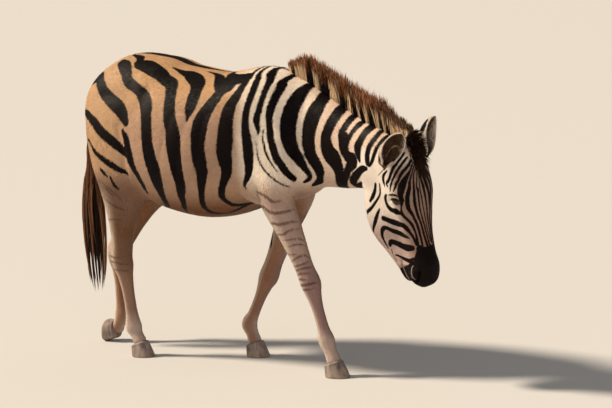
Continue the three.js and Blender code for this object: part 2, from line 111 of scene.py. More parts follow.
class Limb:
    """Stations [x, y, z, front, back, half width, exponent] in millimetres, made dense and given
    their own directions: along the limb, to its left side and to its front."""

    def __init__(self, name, rows, side=LEFT, upright=False, blend=30, hair=None):
        dense = smooth_rows(rows, ROWS_PER_STATION)
        self.name, self.upright, self.blend, self.hair = name, upright, blend * MM, hair
        self.centre = dense[:, :3] * MM
        self.front, self.back, self.half = (dense[:, 3:6] * MM).T
        self.power = dense[:, 6]
        padded = np.vstack([self.centre[:1], self.centre, self.centre[-1:]])
        self.along = np.tile(AHEAD, (len(dense), 1)) if upright else unit(padded[2:] - padded[:-2])
        self.left = unit(side - (self.along @ side)[:, None] * self.along)
        self.up = np.cross(self.along, self.left)
        self.run = np.r_[0, np.cumsum(np.linalg.norm(np.diff(self.centre, axis=0), axis=1))]

    def at(self, place):
        """Centre, directions and sizes at fractional row numbers, by linear mixing of two rows."""
        low = np.clip(place.astype(int), 0, len(self.run) - 2)
        share = (place - low)[:, None]
        mix = lambda v: v[low] * (1 - share) + v[low + 1] * share
        flat = lambda v: mix(v[:, None])[:, 0]
        return (mix(self.centre), mix(self.along), mix(self.left), mix(self.up),
                flat(self.front), flat(self.back), flat(self.half), flat(self.power), flat(self.run))

    def place_of(self, points):
        """The fractional row nearest to each point."""
        if self.upright:
            return np.interp(points[:, 0], self.centre[:, 0], np.arange(len(self.run)))
        gaps = (self.centre**2).sum(1)[None] - 2 * points @ self.centre.T
        row = gaps.argmin(1)
        off = ((points - self.centre[row]) * self.along[row]).sum(1)
        step = np.gradient(self.run)[row]
        return np.clip(row + off / step, 0, len(self.run) - 1)

    def local(self, points):
        """Row, and the offset along, left and front of each point from the limb's line."""
        place = self.place_of(points)
        centre, along, left, up, *sizes = self.at(place)
        off = points - centre
        return place, (off * along).sum(1), (off * left).sum(1), (off * up).sum(1), sizes

    def distance(self, points):
        """Signed distance to the limb's surface, below zero inside: the distance along the ray
        from the middle line, capped by rounded ends."""
        place, a, u, v, (front, back, half, power, run) = self.local(points)
        deep = np.where(v > 0, front, back)
        gauge = ((np.abs(u) / half)**power + (np.abs(v) / deep)**power + 1e-12)**(1 / power)
        reach = np.hypot(u, v)
        side = reach * (1 - 1 / gauge)
        between = -np.minimum(run, self.run[-1] - run)
        end = np.where(place <= 0, -a, np.where(place >= len(self.run) - 1, a, between))
        round_off = np.minimum(0.6 * half, 0.05)
        return smooth_max(side, end, round_off)

    def rim(self, place, turn):
        """Points of the surface at angles from the limb's outer side, away from the middle
        plane, to its front."""
        outer = -1 if self.centre[0, 1] < 0 else 1
        centre, along, left, up, front, back, half, power, run = self.at(place)
        deep = np.where(np.sin(turn) > 0, front, back)
        return centre + (outer * half * np.cos(turn))[:, None] * left + (deep * np.sin(turn))[:, None] * up

    def mesh(self, around=28):
        """Grid points of the loft and its faces, closed by two fans."""
        angle = 2 * np.pi * np.arange(around) / around
        power = 2 / self.power[:, None]
        u = np.sign(np.cos(angle)) * np.abs(np.cos(angle))**power * self.half[:, None]
        v = np.sign(np.sin(angle)) * np.abs(np.sin(angle))**power
        v = v * np.where(np.sin(angle) > 0, self.front[:, None], self.back[:, None])
        rings = self.centre[:, None] + u[..., None] * self.left[:, None] + v[..., None] * self.up[:, None]
        return close_rings(rings)


print("one limb row every", round(1 / ROWS_PER_STATION, 2), "of a station")

# %% [markdown]
# Fields and rings.  Where two limbs meet, flesh fills the corner.  Taking the lower
# of their two distances would leave a crease, so the lower one is smoothed by a
# fillet.  A row of rings becomes a closed surface by quads and two fans.

# %% Fillets and rings
def smooth_min(a, b, k):
    """The lower of two fields, with a fillet of radius about k where they meet."""
    near = np.maximum(k - np.abs(a - b), 0) / np.maximum(k, 1e-9)
    return np.minimum(a, b) - near * near * k / 4


def smooth_max(a, b, k):
    """The higher of two fields, with an edge rounded by about k."""
    return -smooth_min(-a, -b, k)


def ramp(values, low, high):
    """A smooth step from 0 at low to 1 at high."""
    t = np.clip((values - low) / (high - low), 0, 1)
    return t * t * (3 - 2 * t)


def close_rings(rings):
    """Points and faces of a closed surface over rings (row, around, xyz): quads between the
    rings and a fan at each end."""
    rows, around = rings.shape[:2]
    i, j = np.meshgrid(np.arange(rows - 1), np.arange(around), indexing="ij")
    n = (j + 1) % around
    quads = np.stack([i * around + j, i * around + n, (i + 1) * around + n, (i + 1) * around + j], -1)
    points = np.vstack([rings.reshape(-1, 3), rings[0].mean(0), rings[-1].mean(0)])
    j = np.arange(around)
    n = (j + 1) % around
    base, last = rows * around, (rows - 1) * around
    start = np.stack([np.full(around, base), n, j], -1)
    stop = np.stack([np.full(around, base + 1), last + j, last + n], -1)
    return points, quads.reshape(-1, 4).tolist() + start.tolist() + stop.tolist()


print("a fillet of 30 mm lowers the corner by", round(0 - smooth_min(0.0, 0.0, 30), 1), "mm")

# %% [markdown]
# Every piece is a mesh at the origin whose points carry its place.  The body plan is
# drawn about the withers, so points are shifted on their way into a mesh and back.

# %% Meshes and their values
def new_object(name, points, faces):
    """A smooth mesh object at the origin from points in the body plan."""
    mesh = bpy.data.meshes.new(name)
    mesh.from_pydata((np.asarray(points) + SHIFT).tolist(), [], faces)
    mesh.shade_smooth()
    made = bpy.data.objects.new(name, mesh)
    bpy.context.scene.collection.objects.link(made)
    return made


def coords(mesh):
    """All vertices of a mesh as one array, in the body plan."""
    flat = np.empty(len(mesh.vertices) * 3, np.float32)
    mesh.vertices.foreach_get("co", flat)
    return flat.reshape(-1, 3).astype(float) - SHIFT


def set_coords(mesh, points):
    """Moves the vertices to points given in the body plan."""
    mesh.vertices.foreach_set("co", (points + SHIFT).astype(np.float32).ravel())
    mesh.update()


def put_values(mesh, name, values):
    """A number, or a colour, at each vertex."""
    values = np.asarray(values, np.float32)
    if values.ndim == 1:
        mesh.attributes.new(name, "FLOAT", "POINT").data.foreach_set("value", values)
    else:
        rgba = np.column_stack([values, np.ones(len(values), np.float32)])
        mesh.attributes.new(name, "FLOAT_COLOR", "POINT").data.foreach_set("color", rgba.ravel())


def hand_over(piece, finish, slot, *replaced):
    """Gives a piece its finish, ties it to the body and lets it stand for the named solids."""
    piece.data.materials.append(finish)
    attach(piece, "root")
    if replaced:
        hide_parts(*replaced)


def triangle_count(mesh):
    """How many triangles the faces of a mesh come to."""
    return sum(len(face.vertices) - 2 for face in mesh.polygons)


print("meshes are shifted by", SHIFT / MM, "mm")

# %% [markdown]
# These are the stations of the whole body.  The trunk has two overlapping lofts,
# the barrel and the narrower quarters, because the round belly folds in against
# the thigh.  Each leg has four joints' worth of line and one table of sizes.

# %% Stations of the body
BARREL = [
    [-690, 905, 150, 110, 105, 2], [-668, 905, 250, 175, 190, 2], [-618, 905, 355, 222, 254, 2.1],
    [-530, 905, 392, 256, 288, 2.1], [-410, 895, 382, 269, 301, 2.1], [-310, 886, 373, 266, 303, 2.1],
    [-200, 888, 359, 254, 292, 2.1], [-70, 912, 355, 240, 258, 2.1], [30, 932, 334, 238, 224, 2.1],
    [115, 935, 292, 224, 190, 2], [185, 920, 215, 184, 154, 2], [236, 900, 125, 120, 105, 2],
]
QUARTERS = [
    [-972, 1080, 60, 80, 70, 2], [-955, 1075, 125, 140, 125, 2], [-915, 1055, 190, 205, 172, 2.2],
    [-840, 1025, 268, 235, 208, 2.3], [-735, 990, 341, 235, 226, 2.3], [-610, 975, 351, 225, 238, 2.3],
    [-500, 962, 334, 210, 226, 2.2], [-400, 940, 290, 180, 180, 2],
]
NECK = [
    [0, 0, 1000, 225, 210, 150], [120, 0, 985, 236, 212, 138], [235, -10, 965, 202, 202, 120],
    [340, -35, 945, 176, 178, 102], [440, -62, 925, 154, 156, 90], [535, -92, 910, 140, 132, 82],
    [630, -122, 905, 122, 122, 76], [715, -145, 902, 88, 100, 66],
]
FORE_SIZES = [
    [0, 40, 50, 26, 2], [.16, 78, 92, 52, 2], [.5, 100, 130, 80, 2], [.8, 88, 112, 78, 2],
    [1, 74, 84, 66, 2], [1.27, 62, 68, 55, 2], [1.55, 50, 52, 47, 2], [1.8, 42, 44, 41, 2],
    [2, 45, 46, 42, 2.3], [2.2, 33, 37, 34, 2.3], [2.45, 26, 31, 26, 2.2], [2.78, 26, 31, 26, 2.2],
    [3, 35, 41, 34, 2.2], [3.5, 28, 33, 29, 2.2], [3.95, 33, 32, 33, 2.2], [4.1, 33, 32, 33, 2.2],
]
HIND_SIZES = [
    [0, 96, 110, 60, 2], [.18, 150, 165, 98, 2], [.55, 195, 208, 114, 2], [1, 188, 172, 102, 2],
    [1.25, 136, 128, 84, 2], [1.45, 86, 97, 66, 2], [1.64, 60, 74, 53, 2], [1.82, 48, 62, 45, 2],
    [1.96, 44, 70, 42, 2.2], [2.08, 44, 56, 42, 2.3], [2.25, 34, 38, 34, 2.3], [2.5, 29, 31, 28, 2.2],
    [2.8, 29, 32, 29, 2.2], [3, 37, 43, 36, 2.2], [3.5, 28, 33, 29, 2.2], [3.95, 33, 32, 33, 2.2],
    [4.1, 33, 32, 33, 2.2],
]
LEG_JOINTS = {
    "fore_right": [[95, -125, 1020], [112, -145, 720], [240, -120, 384], [294, -100, 150], [326, -100, 60]],
    "fore_left": [[55, 125, 1020], [-8, 145, 700], [-166, 120, 350], [-266, 100, 140], [-242, 100, 60]],
    "hind_right": [[-690, -120, 1150], [-712, -165, 860], [-778, -130, 425], [-754, -110, 130],
                   [-722, -110, 60]],
    "hind_left": [[-720, 120, 1150], [-760, 165, 860], [-1043, 130, 405], [-1014, 102, 120],
                  [-1052, 100, 54]],
}
DOCK = [[-905, 1232, 34], [-955, 1205, 33], [-1000, 1140, 30], [-1030, 1040, 27], [-1044, 930, 24],
        [-1050, 820, 19]]


def leg_rows(joints, sizes):
    """Stations of a leg: each size row starts with its place along the joints, 2.5 being halfway
    from joint 2 to joint 3."""
    joints, sizes = np.array(joints, float), np.array(sizes, float)
    low = np.minimum(sizes[:, 0].astype(int), len(joints) - 2)
    share = (sizes[:, 0] - low)[:, None]
    return np.hstack([joints[low] * (1 - share) + joints[low + 1] * share, sizes[:, 1:]])


def upright_rows(table):
    """Stations [x, z, up, down, half, exponent] of the trunk as rows on the middle plane."""
    return [[x, 0, z, up, down, half, power] for x, z, up, down, half, power in table]


print("trunk from", min(row[0] for row in QUARTERS), "to", max(row[0] for row in BARREL), "mm")

# %% [markdown]
# The head is drawn in its own directions, down the face, to its left and out of
# the forehead, so the same numbers would serve any way it is turned.  Skull and
# lower jaw are two lofts, which gives the cheek its round edge.

# %% Stations of the head
POLL = np.array([0.800, -0.160, 0.966])
HEAD_TURN, HEAD_PITCH, HEAD_ROLL = map(math.radians, (-11, 3, 8))
SKULL = [
    [-42, -36, -90, 38, 2], [-12, -3, -125, 64, 2.2], [60, 12, -160, 82, 2.4], [140, 16, -170, 92, 2.6],
    [200, 12, -165, 93, 2.6], [270, 3, -150, 74, 2.6], [350, -8, -135, 60, 2.6], [430, -10, -128, 57, 2.6],
    [490, -6, -126, 62, 2.7], [537, -20, -116, 57, 2.5], [572, -50, -100, 38, 2.2],
]
JAW = [
    [10, -80, -180, 46, 2.2], [60, -80, -240, 62, 2.4], [130, -80, -276, 74, 2.6], [200, -80, -292, 79, 2.6],
    [260, -80, -304, 80, 2.5], [320, -80, -296, 73, 2.4], [390, -80, -250, 58, 2.4],
    [455, -80, -206, 49, 2.4], [510, -80, -176, 41, 2.3], [548, -84, -162, 30, 2],
]


def head_axes():
    """Unit vectors down the face, to the head's left and out of the forehead."""
    turned = np.array([math.cos(HEAD_TURN), math.sin(HEAD_TURN), 0])
    level = np.array([-math.sin(HEAD_TURN), math.cos(HEAD_TURN), 0])
    plumb = np.array([0, 0, -1.0])
    face = plumb * math.cos(HEAD_PITCH) + turned * math.sin(HEAD_PITCH)
    forehead = turned * math.cos(HEAD_PITCH) - plumb * math.sin(HEAD_PITCH)
    return (face * math.cos(HEAD_ROLL) + level * math.sin(HEAD_ROLL),
            level * math.cos(HEAD_ROLL) - face * math.sin(HEAD_ROLL), forehead)


FACE_DOWN, FACE_LEFT, FACE_OUT = head_axes()
HEAD_AXES = np.array([FACE_DOWN, FACE_LEFT, FACE_OUT])


def head_point(local):
    """Body-plan points from head points [down the face, left, out of the forehead] in metres."""
    return POLL + np.asarray(local, float) @ HEAD_AXES


def head_local(points):
    """Head points from body-plan points."""
    return (points - POLL) @ HEAD_AXES.T


def head_rows(table):
    """Stations [down the face, forehead line, lower line, half width, exponent] as loft rows."""
    rows = []
    for down, top, bottom, half, power in table:
        centre = head_point(np.array([down, 0, (top + bottom) / 2]) * MM) / MM
        rows.append([*centre, (top - bottom) / 2, (top - bottom) / 2, half, power])
    return rows


# Share of an ear's length, radius of the cup, half of its open arc in degrees.
EAR = [[0, 24, 165], [.14, 31, 150], [.3, 40, 118], [.5, 45, 98], [.7, 42, 84], [.86, 32, 76], [.96, 18, 70],
       [1, 7, 66]]
EAR_ROWS = smooth_rows(EAR, ROWS_PER_STATION)
EAR_LENGTH, EAR_WALL = 162, 2.6
# Root of each ear on the head, where it points and where its mouth faces.
EARS = {"ear_right": ([43, -89, -95], [-0.66, 0.02, 0.75], [0.15, -0.5, 0.86]),
        "ear_left": ([52, 54, -28], [-0.84, 0.42, 0.28], [0, 0.32, 0.95])}


def ear_axes(at, points, faces):
    """Root, axis to the tip, way the mouth faces, and sideways."""
    axis = unit(np.array(points) @ HEAD_AXES)
    mouth = unit(np.array(faces) @ HEAD_AXES)
    mouth = unit(mouth - (mouth @ axis) * axis)
    return head_point(np.array(at) * MM), axis, mouth, np.cross(axis, mouth)


def build_limbs():
    """Every loft of the body with the fillet that joins it to what came before, and the way its
    hair lies: 1 with the limb's line, -1 against it."""
    limbs = [Limb("barrel", upright_rows(BARREL), upright=True, blend=0, hair=-1),
             Limb("quarters", upright_rows(QUARTERS), upright=True, blend=45, hair=-1),
             Limb("neck", [[*row, 2.1] for row in NECK], blend=60, hair=-1),
             Limb("dock", [[x, 0, z, h, h, h, 2] for x, z, h in DOCK], blend=22, hair=1)]
    for name, joints in LEG_JOINTS.items():
        sizes, blend = (FORE_SIZES, 45) if "fore" in name else (HIND_SIZES, 40)
        limbs.append(Limb(name, leg_rows(joints, sizes), blend=blend, hair=1))
    limbs.append(Limb("skull", head_rows(SKULL), side=FACE_LEFT, blend=30, hair=1))
    limbs.append(Limb("jaw", head_rows(JAW), side=FACE_LEFT, blend=24, hair=1))
    return limbs


LIMBS = build_limbs()
LIMB_NAMES = [limb.name for limb in LIMBS]
LEGS = [limb for limb in LIMBS if limb.name in LEG_JOINTS]
print("lofts:", LIMB_NAMES)

# %% [markdown]
# The skin.  A real hide has no seams, so one surface has to run over all the
# lofts.  They could be joined by booleans, but that leaves sharp creases where a
# leg meets the trunk.  Here the lofts are merged by a voxel remesh, only to get
# an even net of quads, and then every point is slid along its normal onto a
# smooth blend of the lofts' distances, set in by the depth of the coat.

# %% Skin net
COAT_DEPTH = 0.0045
NET = 0.0097


def body_distance(points):
    """Distance to the blended body, below zero inside: limb after limb is taken in by a
    smooth minimum, each only near its own box."""
    field = np.full(len(points), 1.0)
    for limb in LIMBS:
        margin = np.max([limb.front.max(), limb.back.max(), limb.half.max()]) + 0.08
        low, high = limb.centre.min(0) - margin, limb.centre.max(0) + margin
        near = ((points > low) & (points < high)).all(1)
        if near.any():
            field[near] = smooth_min(field[near], limb.distance(points[near]), limb.blend)
    return field


def normals(mesh):
    """Vertex normals as one array."""
    flat = np.empty(len(mesh.vertices) * 3, np.float32)
    mesh.vertex_normals.foreach_get("vector", flat)
    return flat.reshape(-1, 3).astype(float)


def settle(mesh, rounds, chosen=None):
    """Slides vertices along their normals onto the blended body, less the coat's depth."""
    for _ in range(rounds):
        points, out = coords(mesh), normals(mesh)
        pick = np.arange(len(points)) if chosen is None else chosen(points)
        gap = body_distance(points[pick]) + COAT_DEPTH
        points[pick] -= out[pick] * np.clip(0.75 * gap, -0.02, 0.02)[:, None]
        set_coords(mesh, points)


def relax(mesh, rounds):
    """Evens the net: each vertex moves half way to the mean of its neighbours."""
    edges = np.empty(len(mesh.edges) * 2, np.int32)
    mesh.edges.foreach_get("vertices", edges)
    a, b = edges.reshape(-1, 2).T
    ends, others = np.r_[a, b], np.r_[b, a]
    count = np.bincount(ends, minlength=len(mesh.vertices))[:, None]
    for _ in range(rounds):
        points = coords(mesh)
        total = np.stack([np.bincount(ends, points[others, k], len(points)) for k in range(3)], 1)
        set_coords(mesh, points + 0.5 * (total / np.maximum(count, 1) - points))


def voxel_skin():
    """All lofts joined and remeshed into one net of quads."""
    points, faces, start = [], [], 0
    for limb in LIMBS:
        p, f = limb.mesh()
        points.append(p)
        faces += [[v + start for v in face] for face in f]
        start += len(p)
    raw = new_object("skin", np.vstack(points), faces)
    tool = raw.modifiers.new("net", "REMESH")
    tool.mode, tool.voxel_size, tool.adaptivity = "VOXEL", NET, 0
    graph = bpy.context.evaluated_depsgraph_get()
    net = bpy.data.meshes.new_from_object(raw.evaluated_get(graph))
    raw.modifiers.clear()
    raw.data = net
    net.shade_smooth()
    return raw


def refine(mesh, chosen):
    """Splits each face whose vertices are all chosen into four."""
    marked = chosen(coords(mesh))
    work = bmesh.new()
    work.from_mesh(mesh)
    work.verts.ensure_lookup_table()
    edges = [e for e in work.edges if marked[e.verts[0].index] and marked[e.verts[1].index]]
    bmesh.ops.subdivide_edges(work, edges=edges, cuts=1, use_grid_fill=True)
    work.to_mesh(mesh)
    work.free()
    mesh.shade_smooth()


def on_head(points):
    """True on the head, from just behind the cheek to the lips."""
    down, left, out = head_local(points).T
    inside = (down > -0.03) & (out > -0.30) & (out < 0.06) & (np.abs(left) < 0.14)
    return inside & (down - 0.25 * (out + 0.1) > 0)


skin = voxel_skin()
settle(skin.data, 3)
relax(skin.data, 2)
settle(skin.data, 2)
refine(skin.data, on_head)
settle(skin.data, 2, lambda p: np.flatnonzero(on_head(p)))
print("skin net:", len(skin.data.vertices), "points,", triangle_count(skin.data), "triangles")

# %% [markdown]
# The stripes.  A zebra's stripes follow the animal's build: upright on the barrel,
# bending back over the hips to lie level on the rump, fanning out on the forehead
# and closing on the dark muzzle.  A wave texture cannot know that, so every black
# stripe is a brush stroke: a few places along its middle with its width there,
# measured on the side of the body (ahead, height, width) or on the head (down the
# face, left, out of the forehead, width), in millimetres.

# %% Strokes on the body
SIDE_STROKES = {
    "loin": [(-740, 1295, 23), (-700, 1280, 47), (-665, 1248, 51), (-635, 1214, 45), (-560, 1180, 46),
        (-520, 1148, 62), (-490, 1110, 72), (-478, 1070, 60), (-463, 1000, 64), (-455, 948, 66),
        (-428, 850, 78), (-425, 800, 67), (-430, 750, 46), (-445, 705, 29), (-475, 680, 13), (-540, 662, 7)],
    "back_2": [(-715, 1323, 7), (-650, 1312, 20), (-627, 1288, 30), (-580, 1280, 42), (-497, 1250, 42),
        (-448, 1224, 36), (-400, 1202, 45), (-378, 1160, 52), (-350, 1072, 61), (-328, 1027, 66),
        (-317, 988, 78), (-303, 900, 68), (-294, 800, 54), (-312, 750, 39), (-336, 700, 22), (-395, 643, 4)],
    "back_3": [(-460, 1268, 4), (-400, 1250, 16), (-347, 1238, 34), (-281, 1206, 42), (-262, 1165, 56),
        (-256, 1110, 56), (-257, 1060, 4)],
    "flank_top": [(-300, 1248, 4), (-218, 1230, 18), (-145, 1195, 50), (-115, 1195, 50)],
    "flank": [(-98, 1214, 28), (-125, 1190, 47), (-157, 1130, 58), (-183, 1070, 71), (-190, 1020, 76),
        (-190, 950, 63), (-184, 900, 66), (-177, 850, 54), (-190, 800, 36), (-211, 750, 24), (-234, 705, 22),
        (-244, 676, 24), (-232, 658, 18), (-190, 658, 7), (-150, 668, 12), (-55, 705, 10)],
    "dorsal_flank": [(-215, 1262, 6), (-170, 1240, 16), (-120, 1225, 34), (-80, 1222, 40), (-45, 1228, 34)],
    "girth": [(-20, 1300, 9), (-28, 1240, 17), (-34, 1205, 32), (-47, 1160, 42), (-62, 1120, 56),
        (-69, 1080, 60), (-70, 980, 69), (-74, 930, 65), (-70, 890, 55), (-72, 850, 43), (-92, 811, 30),
        (-115, 775, 25), (-131, 740, 25), (-129, 715, 24), (-114, 697, 17), (-55, 703, 12)],
    "elbow": [(8, 1300, 9), (2, 1255, 15), (15, 1215, 28), (18, 1170, 31), (12, 1100, 30), (15, 1030, 33),
        (27, 930, 46), (21, 850, 35), (-12, 797, 16), (-18, 775, 6)],
    "shoulder_1": [(52, 1300, 9), (48, 1260, 15), (56, 1235, 26), (69, 1200, 25), (62, 1100, 27),
        (57, 1060, 28), (67, 1020, 17), (66, 1000, 4)],
    "shoulder_line": [(57, 973, 4), (75, 892, 9), (123, 836, 9), (187, 785, 5)],
    "shoulder_2": [(140, 1250, 14), (117, 1208, 30), (119, 1188, 35), (114, 1150, 30), (108, 1100, 34),
        (108, 1060, 27), (121, 985, 31), (149, 908, 30), (176, 870, 27), (199, 816, 12)],
    "shoulder_thin": [(87, 1020, 5), (88, 980, 9), (98, 940, 12), (115, 905, 12), (155, 853, 4)],
    "neck_1": [(215, 1192, 34), (199, 1157, 61), (184, 1110, 61), (179, 1060, 60), (182, 1000, 54),
        (205, 923, 37), (242, 841, 30), (239, 815, 19), (213, 798, 8)],
    "neck_2": [(272, 1172, 21), (295, 1137, 39), (288, 1100, 74), (275, 1055, 79), (265, 1000, 72),
        (265, 950, 68), (275, 912, 62), (303, 860, 63), (300, 835, 45), (286, 806, 30), (235, 782, 8)],
    "neck_3": [(400, 1108, 47), (388, 1070, 55), (360, 1000, 55), (360, 962, 64), (373, 923, 76),
        (403, 897, 81), (418, 850, 58), (396, 789, 35), (378, 755, 13)],
    "neck_4": [(472, 1080, 36), (452, 1034, 35), (439, 1002, 38), (456, 977, 64), (460, 946, 54),
        (478, 916, 42), (507, 899, 64), (485, 873, 40), (437, 815, 31), (410, 770, 19)],
    "neck_4b": [(536, 1062, 25), (504, 1023, 26), (483, 991, 28), (457, 973, 59)],
    "neck_5": [(602, 1052, 31), (572, 1019, 34), (542, 966, 44), (539, 940, 41), (550, 900, 9)],
    "neck_6": [(648, 1035, 22), (631, 1001, 25), (601, 950, 28), (594, 902, 27), (600, 885, 10)],
    "neck_7": [(682, 1010, 16), (645, 955, 20), (622, 905, 18), (608, 888, 16)],
    "throat_1": [(585, 873, 16), (557, 867, 32), (501, 829, 35), (484, 808, 39), (481, 796, 28)],
    "throat_2": [(537, 812, 9), (515, 800, 19), (490, 787, 16)],
}
RUMP_STROKES = {
    "croup_1": [(-957, 1190, 8), (-925, 1213, 22), (-890, 1222, 35), (-849, 1233, 44), (-812, 1205, 54),
        (-774, 1170, 55), (-709, 1135, 55), (-663, 1109, 62), (-630, 1077, 55), (-607, 1046, 33)],
    "rump_1": [(-965, 1085, 19), (-900, 1076, 37), (-853, 1062, 39), (-802, 1042, 46), (-765, 1014, 48),
        (-678, 962, 45), (-610, 915, 31)],
    "rump_2": [(-880, 969, 7), (-845, 956, 16), (-788, 913, 22), (-709, 872, 30), (-668, 853, 29),
        (-612, 828, 14)],
    "thigh_1": [(-762, 842, 17), (-742, 824, 18), (-728, 812, 8)],
    "thigh_2": [(-709, 809, 11), (-698, 775, 17), (-680, 757, 7)],
    "thigh_3": [(-770, 770, 4), (-737, 740, 7), (-720, 727, 4)],
}
BELLY_EDGE = [(-625, 1010, 20), (-601, 980, 38), (-590, 940, 49), (-576, 900, 50), (-560, 862, 38),
              (-532, 800, 33), (-529, 770, 28), (-530, 745, 13)]
# Stripes along the middle plane: place ahead, width.
WITHERS = [(44, 4), (70, 13), (100, 15), (140, 12)]
VENTRAL = [(-430, 4), (-380, 14), (-250, 18), (-100, 18), (40, 14), (110, 4)]
SPINE = [(-930, 24), (-860, 40), (-760, 54), (-600, 60), (-450, 54), (-360, 44), (-300, 28), (-240, 14),
         (30, 12)]
print(len(SIDE_STROKES) + len(RUMP_STROKES) + 1, "strokes on each side of the body")

# %% [markdown]
# The face.  Fine stripes start under the forelock and run down to the nose, where
# they close up; bars cross the cheek; a hooked stripe runs under the eye.  Each
# point is [down the face, left, out of the forehead, width] in millimetres.

# %% Strokes on the head
FACE_STROKES = {
    "crown_1": [(42, -71, -49, 6), (64, -79, -87, 4), (99, -78, -144, 3)],
    "crown_2": [(81, -82, -91, 6), (95, -83, -108, 12), (109, -82, -118, 15), (125, -82, -119, 15),
        (145, -84, -116, 3)],
    "crown_3": [(19, -46, -15, 9), (54, -71, -38, 10), (72, -79, -58, 14), (115, -85, -84, 13),
        (130, -86, -101, 11), (143, -87, -96, 6)],
    "crown_4": [(38, -43, -8, 8), (55, -60, -18, 10), (93, -80, -47, 10), (134, -85, -77, 8),
        (162, -91, -85, 4)],
    "crown_5": [(50, -34, 2, 8), (67, -46, -3, 11), (98, -74, -26, 12), (119, -81, -37, 10),
        (136, -84, -53, 13), (160, -89, -67, 6)],
    "crown_6": [(70, -36, 4, 6), (87, -45, 1, 7), (103, -58, -5, 13), (123, -71, -15, 21),
        (142, -79, -25, 28), (157, -83, -33, 30), (176, -86, -36, 23), (200, -79, -39, 16),
        (223, -80, -48, 8), (239, -77, -55, 9), (261, -68, -60, 17), (296, -58, -36, 13), (338, -47, -30, 8),
        (386, -45, -32, 12)],
    # Painted shade: a black line in the crease of the upper lid.
    "lid_crease_shade": [(177, -88, -100, 4), (174, -93, -80, 7), (176, -91, -61, 8), (183, -87, -43, 6)],
    "hook": [(177, -86, -114, 10), (193, -82, -127, 19), (219, -78, -126, 21), (234, -76, -116, 25),
        (243, -79, -94, 26), (246, -78, -80, 25), (259, -72, -72, 6)],
    "ear_base": [(135, -76, -151, 7), (160, -74, -155, 10), (184, -74, -166, 9), (231, -75, -219, 13),
        (254, -67, -260, 16)],
    "cheek_1": [(136, -73, -176, 12), (160, -72, -186, 15), (184, -74, -202, 17), (205, -74, -224, 12)],
    "cheek_2": [(238, -76, -177, 8), (257, -76, -193, 14), (282, -73, -212, 17), (313, -67, -238, 14),
        (340, -52, -261, 8)],
    "bar_1": [(275, -74, -166, 21), (281, -71, -150, 20), (290, -66, -130, 24), (298, -62, -106, 26),
        (303, -66, -78, 21), (316, -60, -64, 19), (349, -53, -45, 11), (386, -47, -37, 10)],
    "bar_2": [(403, -51, -194, 6), (361, -61, -203, 13), (337, -66, -198, 16), (320, -68, -186, 18),
        (315, -68, -168, 17), (331, -59, -136, 19), (346, -55, -94, 20), (359, -54, -62, 6)],
    "bar_3": [(390, -54, -179, 15), (376, -55, -168, 19), (378, -52, -152, 23), (395, -49, -109, 25),
        (399, -52, -82, 27), (399, -52, -56, 20)],
    "bar_4": [(432, -48, -162, 8), (434, -47, -148, 8), (447, -46, -119, 15), (452, -53, -83, 17),
        (443, -53, -63, 12)],
    "chin": [(408, -51, -177, 5), (434, -47, -177, 4), (455, -44, -168, 4)],
    "nose_2": [(78, -30, 7, 5), (95, -40, 4, 5), (132, -58, -2, 9), (155, -63, -4, 13), (193, -72, -16, 17),
        (231, -68, -24, 17), (268, -55, -19, 11), (320, -40, -18, 9), (391, -31, -20, 8)],
    "nose_3": [(88, -26, 9, 5), (109, -39, 6, 5), (158, -47, 4, 9), (202, -50, 0, 12), (224, -48, -4, 12),
        (268, -40, -8, 9), (307, -28, -11, 8), (359, -18, -14, 9), (402, -10, -15, 11)],
    "nose_4": [(100, -20, 10, 4), (153, -35, 8, 6), (170, -32, 8, 9), (225, -31, 2, 7), (271, -25, -4, 6),
        (318, -13, -9, 7), (401, 2, -15, 7)],
    "nose_5": [(98, -12, 11, 4), (156, -21, 10, 5), (207, -17, 6, 6), (257, -11, 0, 5), (331, 0, -11, 5),
        (386, 10, -15, 6)],
    "mid_1": [(85, -6, 12, 5), (131, -9, 11, 8), (153, -4, 11, 12), (190, 1, 8, 11), (235, 6, 3, 8),
        (290, 7, -5, 7), (340, 13, -12, 6), (393, 19, -16, 10)],
    "far_1": [(80, 0, 12, 6), (101, -1, 10, 8), (135, 10, 11, 13), (158, 16, 11, 15), (198, 25, 6, 12),
        (258, 24, -2, 7), (302, 19, -8, 7), (384, 30, -20, 10)],
    "far_2": [(78, 8, 11, 6), (98, 8, 10, 8), (123, 24, 10, 13), (168, 41, 6, 13), (216, 36, 2, 10),
        (281, 33, -8, 6), (365, 29, -13, 7), (392, 34, -17, 10)],
    "far_brow": [(106, 26, 9, 6), (123, 44, 5, 12), (167, 64, -2, 17), (190, 62, -4, 20), (200, 58, -2, 11)],
}
# Pale lines of the lips over the dark muzzle, in the same measures.
LIP_LINES = [[(468, -41, -144, 5), (489, -37, -141, 6), (524, -30, -136, 5), (541, -22, -135, 3)],
             [(470, -56, -66, 3), (480, -57, -76, 5), (504, -57, -83, 6), (515, -60, -76, 5),
              (527, -53, -72, 3)]]
# Upper edge of the muzzle: out of the forehead, down the face.
MUZZLE_LINE = [(-200, 500), (-146, 484), (-98, 468), (-79, 458), (-62, 451), (-56, 438), (-46, 420),
               (-36, 404), (-24, 396), (-12, 404)]
ONE_SIDED_FACE = ("nose_2", "nose_3", "nose_4", "nose_5", "mid_1", "far_1", "far_2", "far_brow")
